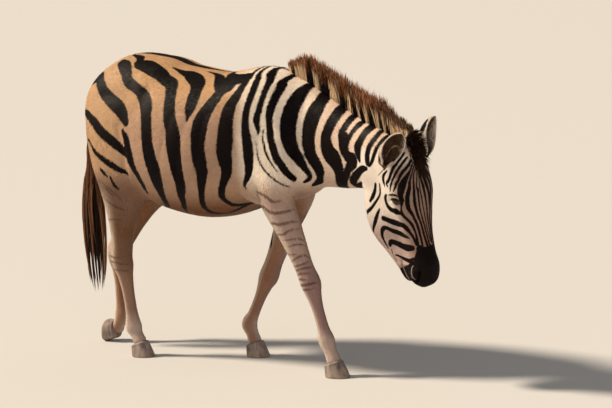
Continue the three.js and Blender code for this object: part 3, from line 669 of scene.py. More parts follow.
# Thin brown bars of a leg: place along its joints, degrees from its outer side to its front, width.
FAINT_STROKES = {
    "fore": [[(0.88, -40, 10), (0.90, -20, 14), (0.94, 0, 15), (0.99, 15, 13), (1.01, 45, 5)],
        [(1.00, -50, 9), (1.02, -30, 14), (1.08, -15, 15), (1.13, 10, 14), (1.15, 40, 12), (1.17, 90, 5)],
        [(1.20, -45, 8), (1.22, -20, 12), (1.25, 0, 14), (1.28, 55, 10), (1.30, 90, 4)],
        [(1.35, -40, 7), (1.37, 0, 11), (1.36, 35, 10), (1.38, 85, 6)],
        [(1.43, -25, 5), (1.45, 10, 8), (1.48, 60, 9), (1.53, 95, 4)],
        [(1.52, -10, 5), (1.54, 50, 8), (1.59, 95, 4)], [(1.58, -60, 5), (1.61, -25, 9), (1.63, 20, 4)],
        [(1.69, -50, 5), (1.67, 25, 10), (1.67, 55, 9), (1.72, 95, 4)],
        [(1.75, -55, 5), (1.76, 15, 10), (1.76, 85, 5)], [(1.80, -55, 5), (1.81, 20, 10), (1.83, 80, 5)],
        [(1.85, -60, 5), (1.85, -10, 10), (1.88, 50, 5)], [(1.90, -60, 5), (1.91, -20, 11), (1.94, 30, 5)],
        [(1.96, -70, 6), (1.99, -10, 13), (2.01, 70, 7)], [(2.05, -60, 6), (2.07, -10, 9), (2.08, 55, 4)]],
    "hind": [[(1.16, -40, 6), (1.18, -15, 9), (1.23, 0, 11), (1.32, 25, 5)],
        [(1.34, -35, 5), (1.37, -15, 9), (1.40, 5, 10), (1.42, 25, 9), (1.43, 50, 4)],
        [(1.57, -50, 5), (1.57, -30, 7), (1.55, 0, 9), (1.54, 35, 5)],
        [(1.95, -80, 9), (1.96, -35, 9), (1.95, 5, 8), (1.93, 45, 4)],
        [(2.00, -80, 9), (2.01, -25, 8), (2.03, 30, 8), (2.05, 70, 4)],
        [(2.10, -80, 8), (2.12, -25, 8), (2.14, 35, 8), (2.16, 70, 4)]],
}
# The bare black patch within the forearm, in the same measures.
CHESTNUT = [(1.48, -125, 8), (1.53, -135, 17), (1.58, -145, 16), (1.64, -155, 8)]
print(len(FACE_STROKES), "strokes on the head,", len(ONE_SIDED_FACE), "of them not mirrored")

# %% [markdown]
# Laying the strokes on.  They could be painted as an image on an unwrap, but an
# unwrap of an animal has seams and stretches.  Instead each stroke is thrown at
# the skin from its own side, so it becomes a line in space that lies on the hide,
# and the depth of ink at any point is half the width less the distance to the
# line: above zero inside a stripe, below zero outside.  The left side gets the
# right side's strokes mirrored and pushed about, since no zebra matches itself.

# %% Strokes onto the skin
def skin_tree(mesh):
    """A search tree of the skin in the body plan."""
    return BVHTree.FromPolygons(coords(mesh).tolist(), [list(p.vertices) for p in mesh.polygons])


def throw_points(tree, places, side):
    """Side places [ahead, height] thrown at the skin from one side; where one misses, the
    nearest skin to the middle plane is taken."""
    found = []
    for ahead, height in places.tolist():
        hit = tree.ray_cast(Vector((ahead, side, height)), Vector((0, -side, 0)))[0]
        found.append(hit or tree.find_nearest(Vector((ahead, 0, height)))[0])
    return np.array(found)


def throw(tree, rows, side):
    """A side stroke [ahead, height, width] laid on the skin: its middle and both its edges are
    thrown, so a stripe keeps its look from the side where the back turns level."""
    dense = smooth_rows(rows, 5) * MM
    if side > 0:
        calm = np.clip((1.20 - dense[:, 1]) / 0.15, 0, 1)
        dense[:, 0] += calm * 0.013 * np.sin(dense[:, 1] * 11 + dense[:, 0] * 4)
        dense[:, 2] *= 1 + 0.12 * calm * np.sin(dense[:, 1] * 17 + dense[:, 0] * 9)
    way = unit(np.gradient(dense[:, :2], axis=0))
    edge = np.column_stack([-way[:, 1], way[:, 0]]) * dense[:, 2:3] / 2
    one, other = (throw_points(tree, dense[:, :2] + k * edge, side) for k in (-1, 1))
    wide = np.clip(np.linalg.norm(one - other, axis=1), dense[:, 2], 1.9 * dense[:, 2])
    wide = np.convolve(np.pad(wide, 2, mode="edge"), np.full(5, 0.2), mode="valid")
    middle = throw_points(tree, dense[:, :2], side)
    return np.column_stack([middle, wide / 2])


def nearest_skin(tree, points):
    """The nearest place of the skin to each point."""
    return np.array([tree.find_nearest(Vector(p))[0] for p in points.tolist()])


FACE_SPREAD = 1.1  # short hair carries the black of a face stripe a tenth past its stated width


def snap(tree, rows, mirror=1):
    """A head stroke [down, left, out, width] laid on the nearest skin."""
    dense = smooth_rows(rows, 4) * MM
    dense[:, 1] *= mirror
    return np.column_stack([nearest_skin(tree, head_point(dense[:, :3])), dense[:, 3] * FACE_SPREAD / 2])


def leg_place(limb, joint):
    """The row number of a leg's loft at a place along its joints."""
    sizes = np.array(FORE_SIZES if "fore" in limb.name else HIND_SIZES)
    return np.interp(joint, sizes[:, 0], np.arange(len(sizes))) * ROWS_PER_STATION


def ring_bar(tree, limb, rows):
    """A bar round part of a leg, on the skin: rows of [place along the joints, degrees from the
    outer side to the front, width]."""
    dense = smooth_rows(rows, 5)
    points = limb.rim(leg_place(limb, dense[:, 0]), np.radians(dense[:, 1]))
    return np.column_stack([nearest_skin(tree, points), dense[:, 2] * MM / 2])


def top_line(tree, rows, height):
    """A stripe [ahead, width] along the middle plane, dropped from above or thrown up from below."""
    dense = smooth_rows(rows, 6) * MM
    way = Vector((0, 0, -1 if height > 0.5 else 1))
    hits = [tree.ray_cast(Vector((x, 0, height)), way)[0] for x in dense[:, 0].tolist()]
    return np.column_stack([np.array(hits), dense[:, 1] / 2])


def all_strokes(tree):
    """Every black stroke, and every faint brown bar, as lines of points with half widths."""
    black = [top_line(tree, SPINE, 2.0), top_line(tree, WITHERS, 2.0), top_line(tree, VENTRAL, -0.5)]
    for rows in [*SIDE_STROKES.values(), *RUMP_STROKES.values(), BELLY_EDGE]:
        black += [throw(tree, rows, -1.0), throw(tree, rows, 1.0)]
    for name, rows in FACE_STROKES.items():
        black.append(snap(tree, rows))
        if name not in ONE_SIDED_FACE:
            black.append(snap(tree, rows, -1))
    faint = []
    for limb in LEGS:
        faint += [ring_bar(tree, limb, rows) for rows in FAINT_STROKES[limb.name.split("_")[0]]]
        if "fore" in limb.name:
            black.append(ring_bar(tree, limb, CHESTNUT))
    return black, faint


print("face stripes are", FACE_SPREAD, "times their stated width")

# %% [markdown]
# Ink.  How deep a point lies inside a stripe is worked out from the lines alone, so
# the skin, every tuft and every lock of the mane can ask for it and always agree.

# %% Depth of ink
def within(points, places, reach):
    """True for points inside the box round the places, widened by reach."""
    return ((points > places.min(0) - reach) & (points < places.max(0) + reach)).all(1)


def gaps_to_line(points, line):
    """Distance from each point to each piece of a line, and the share of that piece passed."""
    start, step = line[:-1, :3], np.diff(line[:, :3], axis=0)
    off = points[:, None] - start
    share = np.clip((off * step).sum(-1) / np.maximum((step * step).sum(-1), 1e-12), 0, 1)
    return np.linalg.norm(off - share[..., None] * step, axis=-1), share


def ink_depth(points, strokes, reach=0.045):
    """Depth of ink at each point: the highest of half width less distance over the pieces of
    every stroke, looked up only inside the box of eight pieces at a time."""
    ink = np.full(len(points), -0.05)
    for line in strokes:
        near = np.flatnonzero(within(points, line[:, :3], reach))
        for first in range(0, len(line) - 1, 8):
            part = line[first:first + 9]
            pick = near[within(points[near], part[:, :3], reach)]
            if len(pick):
                gap, share = gaps_to_line(points[pick], part)
                wide = part[:-1, 3] + share * np.diff(part[:, 3])
                ink[pick] = np.maximum(ink[pick], (wide - gap).max(1))
    return ink


def muzzle_depth(points):
    """Depth inside the dark muzzle: how far a head point lies below the line where the face
    stripes close up, which climbs towards the nose and drops towards the chin."""
    down, left, out = head_local(points).T
    line = np.interp(out, *(np.array(MUZZLE_LINE).T * MM))
    line = line - 0.012 * np.exp(-((np.abs(left) - 0.045) / 0.010)**2) * (out > -0.04)
    return np.where((np.abs(left) < 0.12) & (out > -0.25) & (down < 0.65), (down - line) * 0.9, -0.05)


print("muzzle starts", min(down for out, down in MUZZLE_LINE), "mm down the face")

# %% [markdown]
# Muscle, bone and folds.  The lofts give the big masses, but a hide also shows
# what lies under it: the brow and the bony crest of the face, nostrils, the mouth,
# the shoulder blade, the point of the elbow, tendons.  They could be sculpted by
# hand; here each one is a short line on the skin with a height and a width, and
# the skin rises or sinks there by height times exp(-(distance / width) squared).

# %% Features under the skin
HEAD_FEATURES = [  # height, width, then [down, left, out]: all in millimetres, and mirrored
    (4.0, 11, [(172, 92, -92), (176, 92, -68), (188, 88, -44)]),  # brow over the eye
    (-4.0, 13, [(140, 90, -66), (150, 91, -52)]),  # hollow above the brow
    (3.5, 9, [(232, 86, -92), (275, 70, -84), (335, 58, -74)]),  # crest of the cheek bone
    (-3.0, 12, [(255, 74, -60), (320, 58, -50)]),  # dip between crest and nose
    (3.5, 16, [(486, 50, -52), (515, 48, -66), (536, 40, -82)]),  # fleshy wing of the nostril
    (-15.0, 7.5, [(498, 46, -44), (512, 45, -50), (526, 38, -62), (531, 34, -72)]),  # nostril
    (3.0, 4.5, [(484, 50, -46), (494, 55, -62), (512, 54, -76), (530, 44, -84)]),  # its rim
    # the mouth
    (-4.0, 3.6, [(452, 52, -137), (480, 47, -141), (510, 40, -138), (538, 28, -130), (560, 0, -114)]),
    (3.0, 9, [(470, 46, -122), (505, 44, -120), (540, 30, -114)]),  # upper lip
    (3.0, 9, [(478, 36, -156), (515, 26, -152), (536, 8, -140)]),  # lower lip
    (3.0, 20, [(100, 60, -232), (180, 62, -250), (250, 58, -240)]),  # round of the jaw
    (-3.0, 14, [(330, 44, -168), (400, 42, -150)]),  # hollow behind the lips
]
SIDE_FEATURES = [  # height, width, then [ahead, height of the place]: both sides
    (4, 26, [(75, 1190), (110, 1090), (150, 985)]),  # shoulder blade
    (-5, 20, [(228, 1130), (238, 1020), (226, 930), (205, 860)]),  # furrow before the shoulder
    (7, 28, [(190, 870)]),  # point of the shoulder
    (8, 24, [(10, 790)]),  # elbow
    (-5, 20, [(-30, 1010), (-26, 900), (-40, 810)]),  # behind the upper arm
    (-4, 22, [(60, 980), (110, 890), (150, 820)]),  # between the arm muscles
    (6, 26, [(-575, 1232), (-545, 1205)]),  # hip bone
    (-7, 42, [(-520, 1165), (-560, 1090)]),  # hollow of the flank
    (5, 16, [(-612, 1010), (-585, 900), (-590, 800)]),  # fold of skin to the stifle
    (-5, 17, [(-655, 1030), (-625, 920), (-625, 810)]),  # dip behind that fold
    (6, 36, [(-650, 830)]),  # stifle
    (-4, 18, [(-885, 1120), (-860, 990), (-815, 860)]),  # groove down the ham
    (-2.5, 16, [(-330, 1090), (-370, 960), (-400, 840)]),  # between the ribs, barely
    (-2.5, 16, [(-250, 1090), (-280, 960), (-300, 840)]),
    (-2.5, 16, [(-170, 1080), (-190, 960), (-200, 840)]),
]
LEG_FEATURES = {  # height, width, angle from the outer side, first and last place along the joints
    "fore": [(-2.6, 7, -28, 2.22, 2.88), (-2.6, 7, 208, 2.22, 2.88), (3.0, 11, 20, 1.94, 2.06),
             (-3.5, 16, 25, 1.15, 1.7), (3, 10, -80, 2.9, 3.1), (3, 9, 90, 1.92, 2.05)],
    "hind": [(-2.6, 7, -28, 2.2, 2.85), (-2.6, 7, 208, 2.2, 2.85), (-4.5, 11, -35, 1.72, 1.97),
             (-4.5, 11, 215, 1.72, 1.97), (3.5, 9, -90, 1.86, 2.0), (3, 10, -80, 2.9, 3.1)],
}


def place_lines(tree):
    """All features as (height, width, points) in the body plan."""
    lines = []
    for height, width, rows in HEAD_FEATURES:
        for mirror in (-1, 1):
            places = snap(tree, [[*row, 1] for row in rows], mirror)[:, :3]
            lines.append((height * MM, width * MM, places))
    for height, width, rows in SIDE_FEATURES:
        dense = smooth_rows(rows, 5) * MM if len(rows) > 1 else np.array(rows) * MM
        for side in (-1.0, 1.0):
            lines.append((height * MM, width * MM, throw_points(tree, dense, side)))
    for limb in LEGS:
        for height, width, angle, start, stop in LEG_FEATURES[limb.name.split("_")[0]]:
            places = np.linspace(leg_place(limb, start), leg_place(limb, stop), 12)
            lines.append((height * MM, width * MM, limb.rim(places, np.full(12, math.radians(angle)))))
    return lines


def line_gap(points, line):
    """Distance from points to a line of places, or to its one place."""
    if len(line) == 1:
        return np.linalg.norm(points - line[0], axis=1)
    return gaps_to_line(points, line)[0].min(1)


def mould(mesh, lines):
    """Moves the skin along its normals by the sum of the features near each point."""
    points, out = coords(mesh), normals(mesh)
    move = np.zeros(len(points))
    for height, width, line in lines:
        near = np.flatnonzero(within(points, line, 2.6 * width))
        if len(near):
            move[near] += height * np.exp(-(line_gap(points[near], line) / width)**2)
    set_coords(mesh, points + out * move[:, None])


print(2 * len(HEAD_FEATURES), "features on the head,", 2 * len(SIDE_FEATURES), "on the body")

# %% [markdown]
# The lids.  The eyeball is a separate glossy ball set in the side of the skull, and
# the skin round it is drawn onto a slightly larger ball, cut open by an almond: the
# gap to the almond's edge says whether a point sinks behind the ball, makes the rim
# of a lid, or fades back into the face.

# %% Lids
EYE_PLACE, EYE_RADIUS = np.array([201, 74, -66]) * MM, 22 * MM
UPPER_LID, LOWER_LID, LID_FOLD = 4.0 * MM, 2.6 * MM, 1.6 * MM
SLIT = {"half": 25.5 * MM, "upper": 9.5 * MM, "lower": 12 * MM}


def eye_frame(side):
    """Middle of an eyeball, and its directions to the front corner, the upper lid and outwards."""
    middle = head_point(EYE_PLACE * [1, side, 1])
    outward = unit(side * FACE_LEFT + 0.20 * FACE_OUT - 0.05 * FACE_DOWN)
    front = FACE_OUT * 0.95 + FACE_DOWN * 0.26
    front = unit(front - (front @ outward) * outward)
    upper = unit(-FACE_DOWN - (-FACE_DOWN @ outward) * outward)
    upper = unit(upper - (upper @ front) * front)
    return middle, front, upper, outward


def slit_gap(points, side):
    """Distance outside the almond of the open eye, below zero inside it; large away from the eye."""
    middle, front, upper, outward = eye_frame(side)
    off = points - middle
    a, b, c = off @ front, off @ upper, off @ outward
    tall = np.where(b > 0, SLIT["upper"], SLIT["lower"]) * (1 - np.clip(np.abs(a) / SLIT["half"], 0, 1)**2.2)
    gap = np.maximum(np.abs(b) - tall, (np.abs(a) - SLIT["half"]) * 0.9)
    far = (c < 0.001) | (np.hypot(a, b) > 0.06) | (c > 0.05)
    return np.where(far, 0.1, gap), b, off


def shape_lids(mesh):
    """Draws the skin round both eyes into lids."""
    points = coords(mesh)
    for side in (-1, 1):
        gap, b, off = slit_gap(points, side)
        near = gap < 0.024
        reach = np.linalg.norm(off[near], axis=1)
        g = gap[near]
        thick = np.where(b[near] > 0, UPPER_LID, LOWER_LID)
        lid = EYE_RADIUS + thick - LID_FOLD * np.exp(-((g - 0.0085) / 0.0022)**2) * (b[near] > 0)
        inner = np.minimum(reach, EYE_RADIUS - 0.0035)
        wanted = inner + (lid - inner) * ramp(g, -0.0008, 0.0010)
        wanted = wanted + (reach - wanted) * ramp(g, 0.005, 0.024)
        points[near] = points[near] - off[near] + off[near] / reach[:, None] * wanted[:, None]
    set_coords(mesh, points)


def near_eyes(reach):
    """A test for skin within reach of an eye."""
    middles = [head_point(EYE_PLACE * [1, side, 1]) for side in (-1, 1)]
    return lambda p: np.any([np.linalg.norm(p - m, axis=1) < reach for m in middles], axis=0)


def near_nostrils(p):
    """A test for skin on the nostrils and the lips."""
    down, left, out = head_local(p).T
    aside = np.abs(left)
    return (down > 0.44) & (down < 0.60) & (out > -0.175) & (out < 0.01) & (aside > 0.012) & (aside < 0.08)


refine(skin.data, near_eyes(0.050))
refine(skin.data, near_eyes(0.038))
refine(skin.data, near_nostrils)
mould(skin.data, place_lines(skin_tree(skin.data)))
shape_lids(skin.data)
print("moulded skin:", len(skin.data.vertices), "points,", triangle_count(skin.data), "triangles")

# %% [markdown]
# Where the marks go.  The stripes are laid on the moulded skin, and the dark muzzle
# and the black rims of the lids are added as fields of their own.

# %% Fields of the markings
LID_RIM = 0.0032
INK_REACH, BAR_REACH = 0.05, 0.03  # depths past these are not told apart
hide_tree = skin_tree(skin.data)
black_strokes, faint_strokes = all_strokes(hide_tree)
lip_strokes = [snap(hide_tree, rows, mirror) for rows in LIP_LINES for mirror in (1, -1)]


def markings(points):
    """Ink depth of the black stripes and of the faint bars at each point."""
    black = np.maximum(ink_depth(points, black_strokes), muzzle_depth(points))
    black = np.minimum(black, -ink_depth(points, lip_strokes, reach=0.02))
    for side in (-1, 1):
        black = np.maximum(black, LID_RIM - slit_gap(points, side)[0])
    faint = ink_depth(points, faint_strokes, reach=0.02)
    return np.clip(black, -INK_REACH, INK_REACH), np.clip(faint, -BAR_REACH, BAR_REACH)


print(len(black_strokes), "black strokes and", len(faint_strokes), "faint bars")

# %% [markdown]
# The light hair between the stripes is not one colour: gold on the back and rump, partly the coat's own buff
# and partly painted warm sunlight on the top of the body, buff on the flank, and nearly white on the face and
# legs.  Painted shade darkens the belly, the thigh, the hind legs, the shins, the inner sides of the legs and
# the front of the face, and a painted highlight lightens the rear edges of the legs, which face the sun.  It
# could be a gradient by height alone; here each region has its own colour and they are mixed by soft weights.

# %% Ground colour
# Light hair by region.  The back and rump colours hold painted warm sunlight besides their own buff; the
# belly, thigh, hind-leg, shin, inner-leg and front-of-face colours are painted shade; the rear-leg colour is
# a painted highlight.
GROUND = {
    "back": (0.58, 0.345, 0.175), "flank": (0.44, 0.275, 0.185), "belly_shade": (0.13, 0.042, 0.013),
    "rump": (0.54, 0.335, 0.185), "shoulder": (0.92, 0.79, 0.65), "neck": (0.73, 0.555, 0.43),
    "face": (0.90, 0.80, 0.70), "face_front_shade": (0.27, 0.155, 0.12), "face_low": (0.44, 0.30, 0.27),
    "leg": (0.48, 0.335, 0.285), "leg_rear_highlight": (0.82, 0.69, 0.56), "leg_inner_shade": (0.26, 0.12, 0.06),
    "shin_shade": (0.32, 0.20, 0.185), "thigh": (0.12, 0.047, 0.018), "hind_leg": (0.32, 0.19, 0.135),
    "foot": (0.62, 0.50, 0.43), "nose_bridge": (0.30, 0.165, 0.11),
    "lip": (0.30, 0.22, 0.19), "ear_cup": (0.042, 0.017, 0.007),
}


def on_skull(points):
    """Weight 1 on the head, falling to 0 behind the cheek."""
    down, left, out = head_local(points).T
    inside = ramp(down, -0.04, 0.04) * ramp(out, -0.30, -0.26) * (np.abs(left) < 0.14)
    return inside * ramp(down - 0.25 * (out + 0.1), -0.01, 0.03)


def in_ear_cup(points):
    """1 on the skin that shows at the bottom of an ear's funnel."""
    inside = np.zeros(len(points))
    for spec in EARS.values():
        root, axis, mouth, side = ear_axes(*spec)
        off = points - root
        along = off @ axis
        radius = np.interp(along / (EAR_LENGTH * MM), EAR_ROWS[:, 0], EAR_ROWS[:, 1]) * MM
        across = np.linalg.norm(off - along[:, None] * axis - 0.25 * radius[:, None] * mouth, axis=1)
        inside = np.maximum(inside, ramp(0.96 * radius - across, 0, 0.003) * (along > -0.03) * (along < 0.12))
    return inside


def ground_colour(points):
    """Colour of the light hair, with painted sunlight, painted shade and a painted highlight in it: start
    from the flank and blend each region's colour in.
    """
    x, y, z = points.T
    down, left, out = head_local(points).T
    colour = np.tile(np.array(GROUND["flank"]), (len(points), 1))

    def blend(name, weight):
        nonlocal colour
        colour = colour + weight[:, None] * (np.array(GROUND[name]) - colour)

    # Partly painted warm sunlight: the top of the body and the rump are made golden and lighter than the
    # flank, partly the coat's own buff.
    blend("back", ramp(z, 1.02, 1.20))
    blend("rump", ramp(-x, 0.55, 0.72) * ramp(z, 0.70, 0.95))
    # Painted shade: the belly under the barrel is made dark rust-brown.
    blend("belly_shade", ramp(-z, -0.80, -0.655) * ramp(x, -0.62, -0.50) * ramp(-x, -0.10, 0.02))
    soft = 0.13 * ramp(z, 1.10, 1.24)  # the change from the back's colour is slower near the spine
    blend("shoulder", ramp(x + soft, -0.06, 0.02 + soft) * ramp(z, 0.72, 0.84))
    blend("neck", ramp(x, 0.16, 0.34))
    on_legs = ramp(x, 0.0, 0.07) * ramp(-x, -0.45, -0.35) + ramp(-x, 0.56, 0.64) + ramp(-z, -0.62, -0.52)
    blend("leg", ramp(-z, -0.84, -0.66) * np.clip(on_legs, 0, 1))
    # Painted shade: the lower legs are made darker.
    blend("shin_shade", ramp(-z, -0.54, -0.38))
    # Painted shade: the hind legs are made darker and browner.
    blend("hind_leg", ramp(-x, 0.50, 0.60) * ramp(-z, -0.70, -0.55))
    # Painted shade: the lower thigh and gaskin are made very dark.
    blend("thigh", 0.8 * ramp(-x, 0.50, 0.62) * ramp(-z, -0.86, -0.74) * ramp(z, 0.30, 0.48))
    blend("foot", 0.8 * ramp(-z, -0.22, -0.12))
    for limb in LEGS:
        order = np.argsort(limb.centre[:, 2])
        middle, side, back, half = (np.interp(z, limb.centre[order, 2], part[order])
                                    for part in (limb.centre[:, 0], limb.centre[:, 1], limb.back, limb.half))
        near = (np.abs(y - side) < 0.12) * (np.abs(middle - x) < 0.16) * ramp(-z, -0.80, -0.64)
        # Painted shade: the inner side of each leg, towards the other legs, is made dark brown.
        blend("leg_inner_shade", 0.8 * near * ramp((side - y) * np.sign(side), -0.1 * half, 0.8 * half))
        # Painted highlight: the rear edge of each leg, which faces the sun, is made paler.
        blend("leg_rear_highlight", 0.75 * near * ramp(middle - x, -0.05 * back, 0.75 * back))
    head = on_skull(points)
    blend("face", head)
    blend("face_low", 0.85 * head * ramp(down, 0.22, 0.36))
    # Painted shade: the front plane of the face is made darker.
    blend("face_front_shade", 0.92 * head * ramp(out, -0.105, -0.040) * ramp(down, 0.02, 0.10))
    bridge = head * np.exp(-(left / 0.035)**2) * ramp(out, -0.06, -0.02) * ramp(down, 0.20, 0.38)
    blend("nose_bridge", 0.8 * bridge)
    blend("lip", head * ramp(down, 0.465, 0.475) * (out < -0.06))
    blend("ear_cup", in_ear_cup(points))
    return np.clip(colour, 0, 1)


print(len(GROUND), "colours of light hair")

# %% [markdown]
# Mesh helpers for the many small pieces.  A coat of a quarter of a million tufts
# could not be made one by one; whole arrays of points and triangles go into the
# mesh at once.

# %% Meshes from arrays
def triangle_object(name, points, triangles, smooth=False):
    """A mesh object from arrays of points (body plan) and triangles."""
    mesh = bpy.data.meshes.new(name)
    mesh.vertices.add(len(points))
    mesh.vertices.foreach_set("co", (points + SHIFT).astype(np.float32).ravel())
    mesh.loops.add(triangles.size)
    mesh.loops.foreach_set("vertex_index", triangles.astype(np.int32).ravel())
    mesh.polygons.add(len(triangles))
    mesh.polygons.foreach_set("loop_start", np.arange(0, triangles.size, 3, dtype=np.int32))
    mesh.update(calc_edges=True)
    mesh.shade_smooth() if smooth else mesh.shade_flat()
    made = bpy.data.objects.new(name, mesh)
    bpy.context.scene.collection.objects.link(made)
    return made


def put_patches(mesh, places, per, size=0.003):
    """The bake map: every piece with `per` vertices gets a patch of the given size at its place."""
    corner = np.array([[0, 0], [1, 0], [0, 1], [1, 1]])[np.arange(per) % 4] * size
    spots = (places[:, None] * (1 - size) + corner[None]).reshape(-1, 2)
    index = np.empty(len(mesh.loops), np.int32)
    mesh.loops.foreach_get("vertex_index", index)
    mesh.uv_layers.new(name="OFBake").data.foreach_set("uv", spots[index].astype(np.float32).ravel())


def spin(v, axis, angle):
    """Vectors turned about unit axes."""
    c, s = np.cos(angle)[:, None], np.sin(angle)[:, None]
    return v * c + np.cross(axis, v) * s + axis * (axis * v).sum(1, keepdims=True) * (1 - c)


def swell(t, foot, gain, taper):
    """Thickness along a lock: (foot + gain t) times (1 - t) to the power taper, scaled to a
    greatest value of 1."""
    size = (foot + gain * t) * (1 - t)**taper
    return size / size.max()


def spindles(path, wide, deep, t):
    """Thin closed locks: a diamond section at every place of each path but its last, which is
    the tip.  Returns points, triangles, the share of the length at each point, and the number
    of points of one lock."""
    count, rings = len(path), path.shape[1] - 1
    body = path[:, :-1]
    ring = np.stack([body + wide, body + deep, body - wide, body - deep], 2)
    points = np.concatenate([ring.reshape(count, -1, 3), path[:, -1:]], 1)
    a, last, corner = np.arange(4 * (rings - 1)), 4 * (rings - 1), np.arange(4)
    b = a - a % 4 + (a + 1) % 4
    tip = np.column_stack([last + corner, last + (corner + 1) % 4, np.full(4, 4 * rings)])
    faces = np.vstack([np.column_stack([a, b, b + 4]), np.column_stack([a, b + 4, a + 4]),
                       tip, [[0, 2, 1], [0, 3, 2]]])
    per = 4 * rings + 1
    triangles = (np.arange(count)[:, None, None] * per + faces).reshape(-1, 3)
    return points.reshape(-1, 3), triangles, np.tile(np.r_[np.repeat(t[:-1], 4), 1.0], count), per


def locks(roots, ways, bends, sides, lengths, widths, depths, rings=5):
    """Tapered locks of long hair: each runs root + length * (t * way + t * t * bend), with its
    width across `sides`."""
    t = np.linspace(0, 1, rings + 1)**0.9
    reach = t[:, None] * ways[:, None] + (t**2)[:, None] * bends[:, None]
    path = roots[:, None] + lengths[:, None, None] * reach
    run = unit(ways[:, None] + 2 * t[:-1, None] * bends[:, None])
    across = unit(sides[:, None] - (run * sides[:, None]).sum(-1, keepdims=True) * run)
    size = swell(t[:-1], 0.55, 1.1, 0.75) / 2
    wide = (widths[:, None] * size)[..., None] * across
    deep = (depths[:, None] * size)[..., None] * np.cross(run, across)
    return spindles(path, wide, deep, t)


print("mesh helpers ready")

# %% [markdown]
# Ears.  An ear is a thin leaf of gristle rolled into a funnel at its foot and open
# like a spoon above.  Each station is an arc of a circle, nearly closed at the foot
# and narrow at the tip; the outer and the inner face are joined round the rim, and
# the foot is buried in the head.

# %% Ear shapes
def ear_point(axes, share, turn, inset):
    """Points of an ear: share of its length, turn across its arc from -1 to 1, and the depth
    below the outer face."""
    root, axis, mouth, side = axes
    radius = np.interp(share, EAR_ROWS[:, 0], EAR_ROWS[:, 1]) - 1.2
    arc = np.radians(np.interp(share, EAR_ROWS[:, 0], EAR_ROWS[:, 2]))
    bow = 4 * np.sin(np.pi * share)
    r = np.maximum(radius - inset, radius * 0.4)
    middle = (share * EAR_LENGTH)[..., None] * axis + (radius * 0.25 - bow)[..., None] * mouth
    angle = arc * turn
    across = (r * np.sin(angle))[..., None] * side - (r * np.cos(angle))[..., None] * mouth
    return root + MM * (middle + across)


def ear_mesh(spec):
    """Grid of one ear: points, faces, share along it, turn across it, and 1 on the inner face."""
    axes = ear_axes(*spec)
    s, t = np.meshgrid(np.linspace(0, 1, 40)**0.9, np.linspace(-1, 1, 27), indexing="ij")
    outer = ear_point(axes, s, t, 0.0)
    inner = ear_point(axes, s, t[:, ::-1], EAR_WALL)
    points, faces = close_rings(np.concatenate([outer, inner], 1))
    tag = np.concatenate([(s < 0.05) * 1.0, np.ones_like(s)], 1).ravel()
    return (points, faces, np.r_[np.concatenate([s, s], 1).ravel(), 0, 1],
            np.r_[np.concatenate([t, t[:, ::-1]], 1).ravel(), 0, 0], np.r_[tag, 1, 0])


EAR_PALE = np.array([0.80, 0.70, 0.60])


def ear_colours(share, turn, inner):
    """Ink and ground of an ear: a dark band below a pale tip on the back, brown hair within
    and a pale rim."""
    rim = ramp(np.abs(turn), 0.80, 0.97) * ramp(share, 0.05, 0.12)
    margin = np.maximum(rim, 0.8 * ramp(np.abs(turn), 0.45, 0.9) * ramp(share, 0.15, 0.5))
    band = np.minimum(share - 0.52, 0.86 - share) * 0.10
    foot = 0.012 - np.abs(share - 0.16) * 0.10
    ink = np.where(inner > 0.5, -0.05, np.maximum(band, foot) - 0.02 * rim)
    pale, brown, back = EAR_PALE, np.array(GROUND["ear_cup"]), np.array([0.80, 0.68, 0.56])
    inside = pale + (1 - margin)[:, None] * (brown - pale)
    return ink, np.where(inner[:, None] > 0.5, inside, back + rim[:, None] * (pale - back))


def join_ears(body):
    """One mesh of the body's skin and both ears, with ink, bar and ground at every point."""
    points = coords(body.data)
    parts = [(points, *markings(points), ground_colour(points))]
    faces = [list(face.vertices) for face in body.data.polygons]
    for spec in EARS.values():
        start = sum(len(part[0]) for part in parts)
        points, ear_faces, share, turn, inner = ear_mesh(spec)
        ink, ground = ear_colours(share, turn, inner)
        faces += [[v + start for v in face] for face in ear_faces]
        parts.append((points, ink, np.full(len(points), -BAR_REACH), ground))
    points, *values = (np.concatenate(column) for column in zip(*parts))
    whole = new_object("skin_whole", points, faces)
    for name, value in zip(("ink", "bar", "ground"), values):
        put_values(whole.data, name, value)
    return whole


skin_whole = join_ears(skin)
print("skin with ears:", triangle_count(skin_whole.data), "triangles")

# %% [markdown]
# The coat's finish.  The ink depth is turned into a sharp but slightly ragged edge
# by adding fine noise to it, so the stripes end in hair and not in a line.  The
# stripes are a near-black brown, and patches of dust lighten the hair.

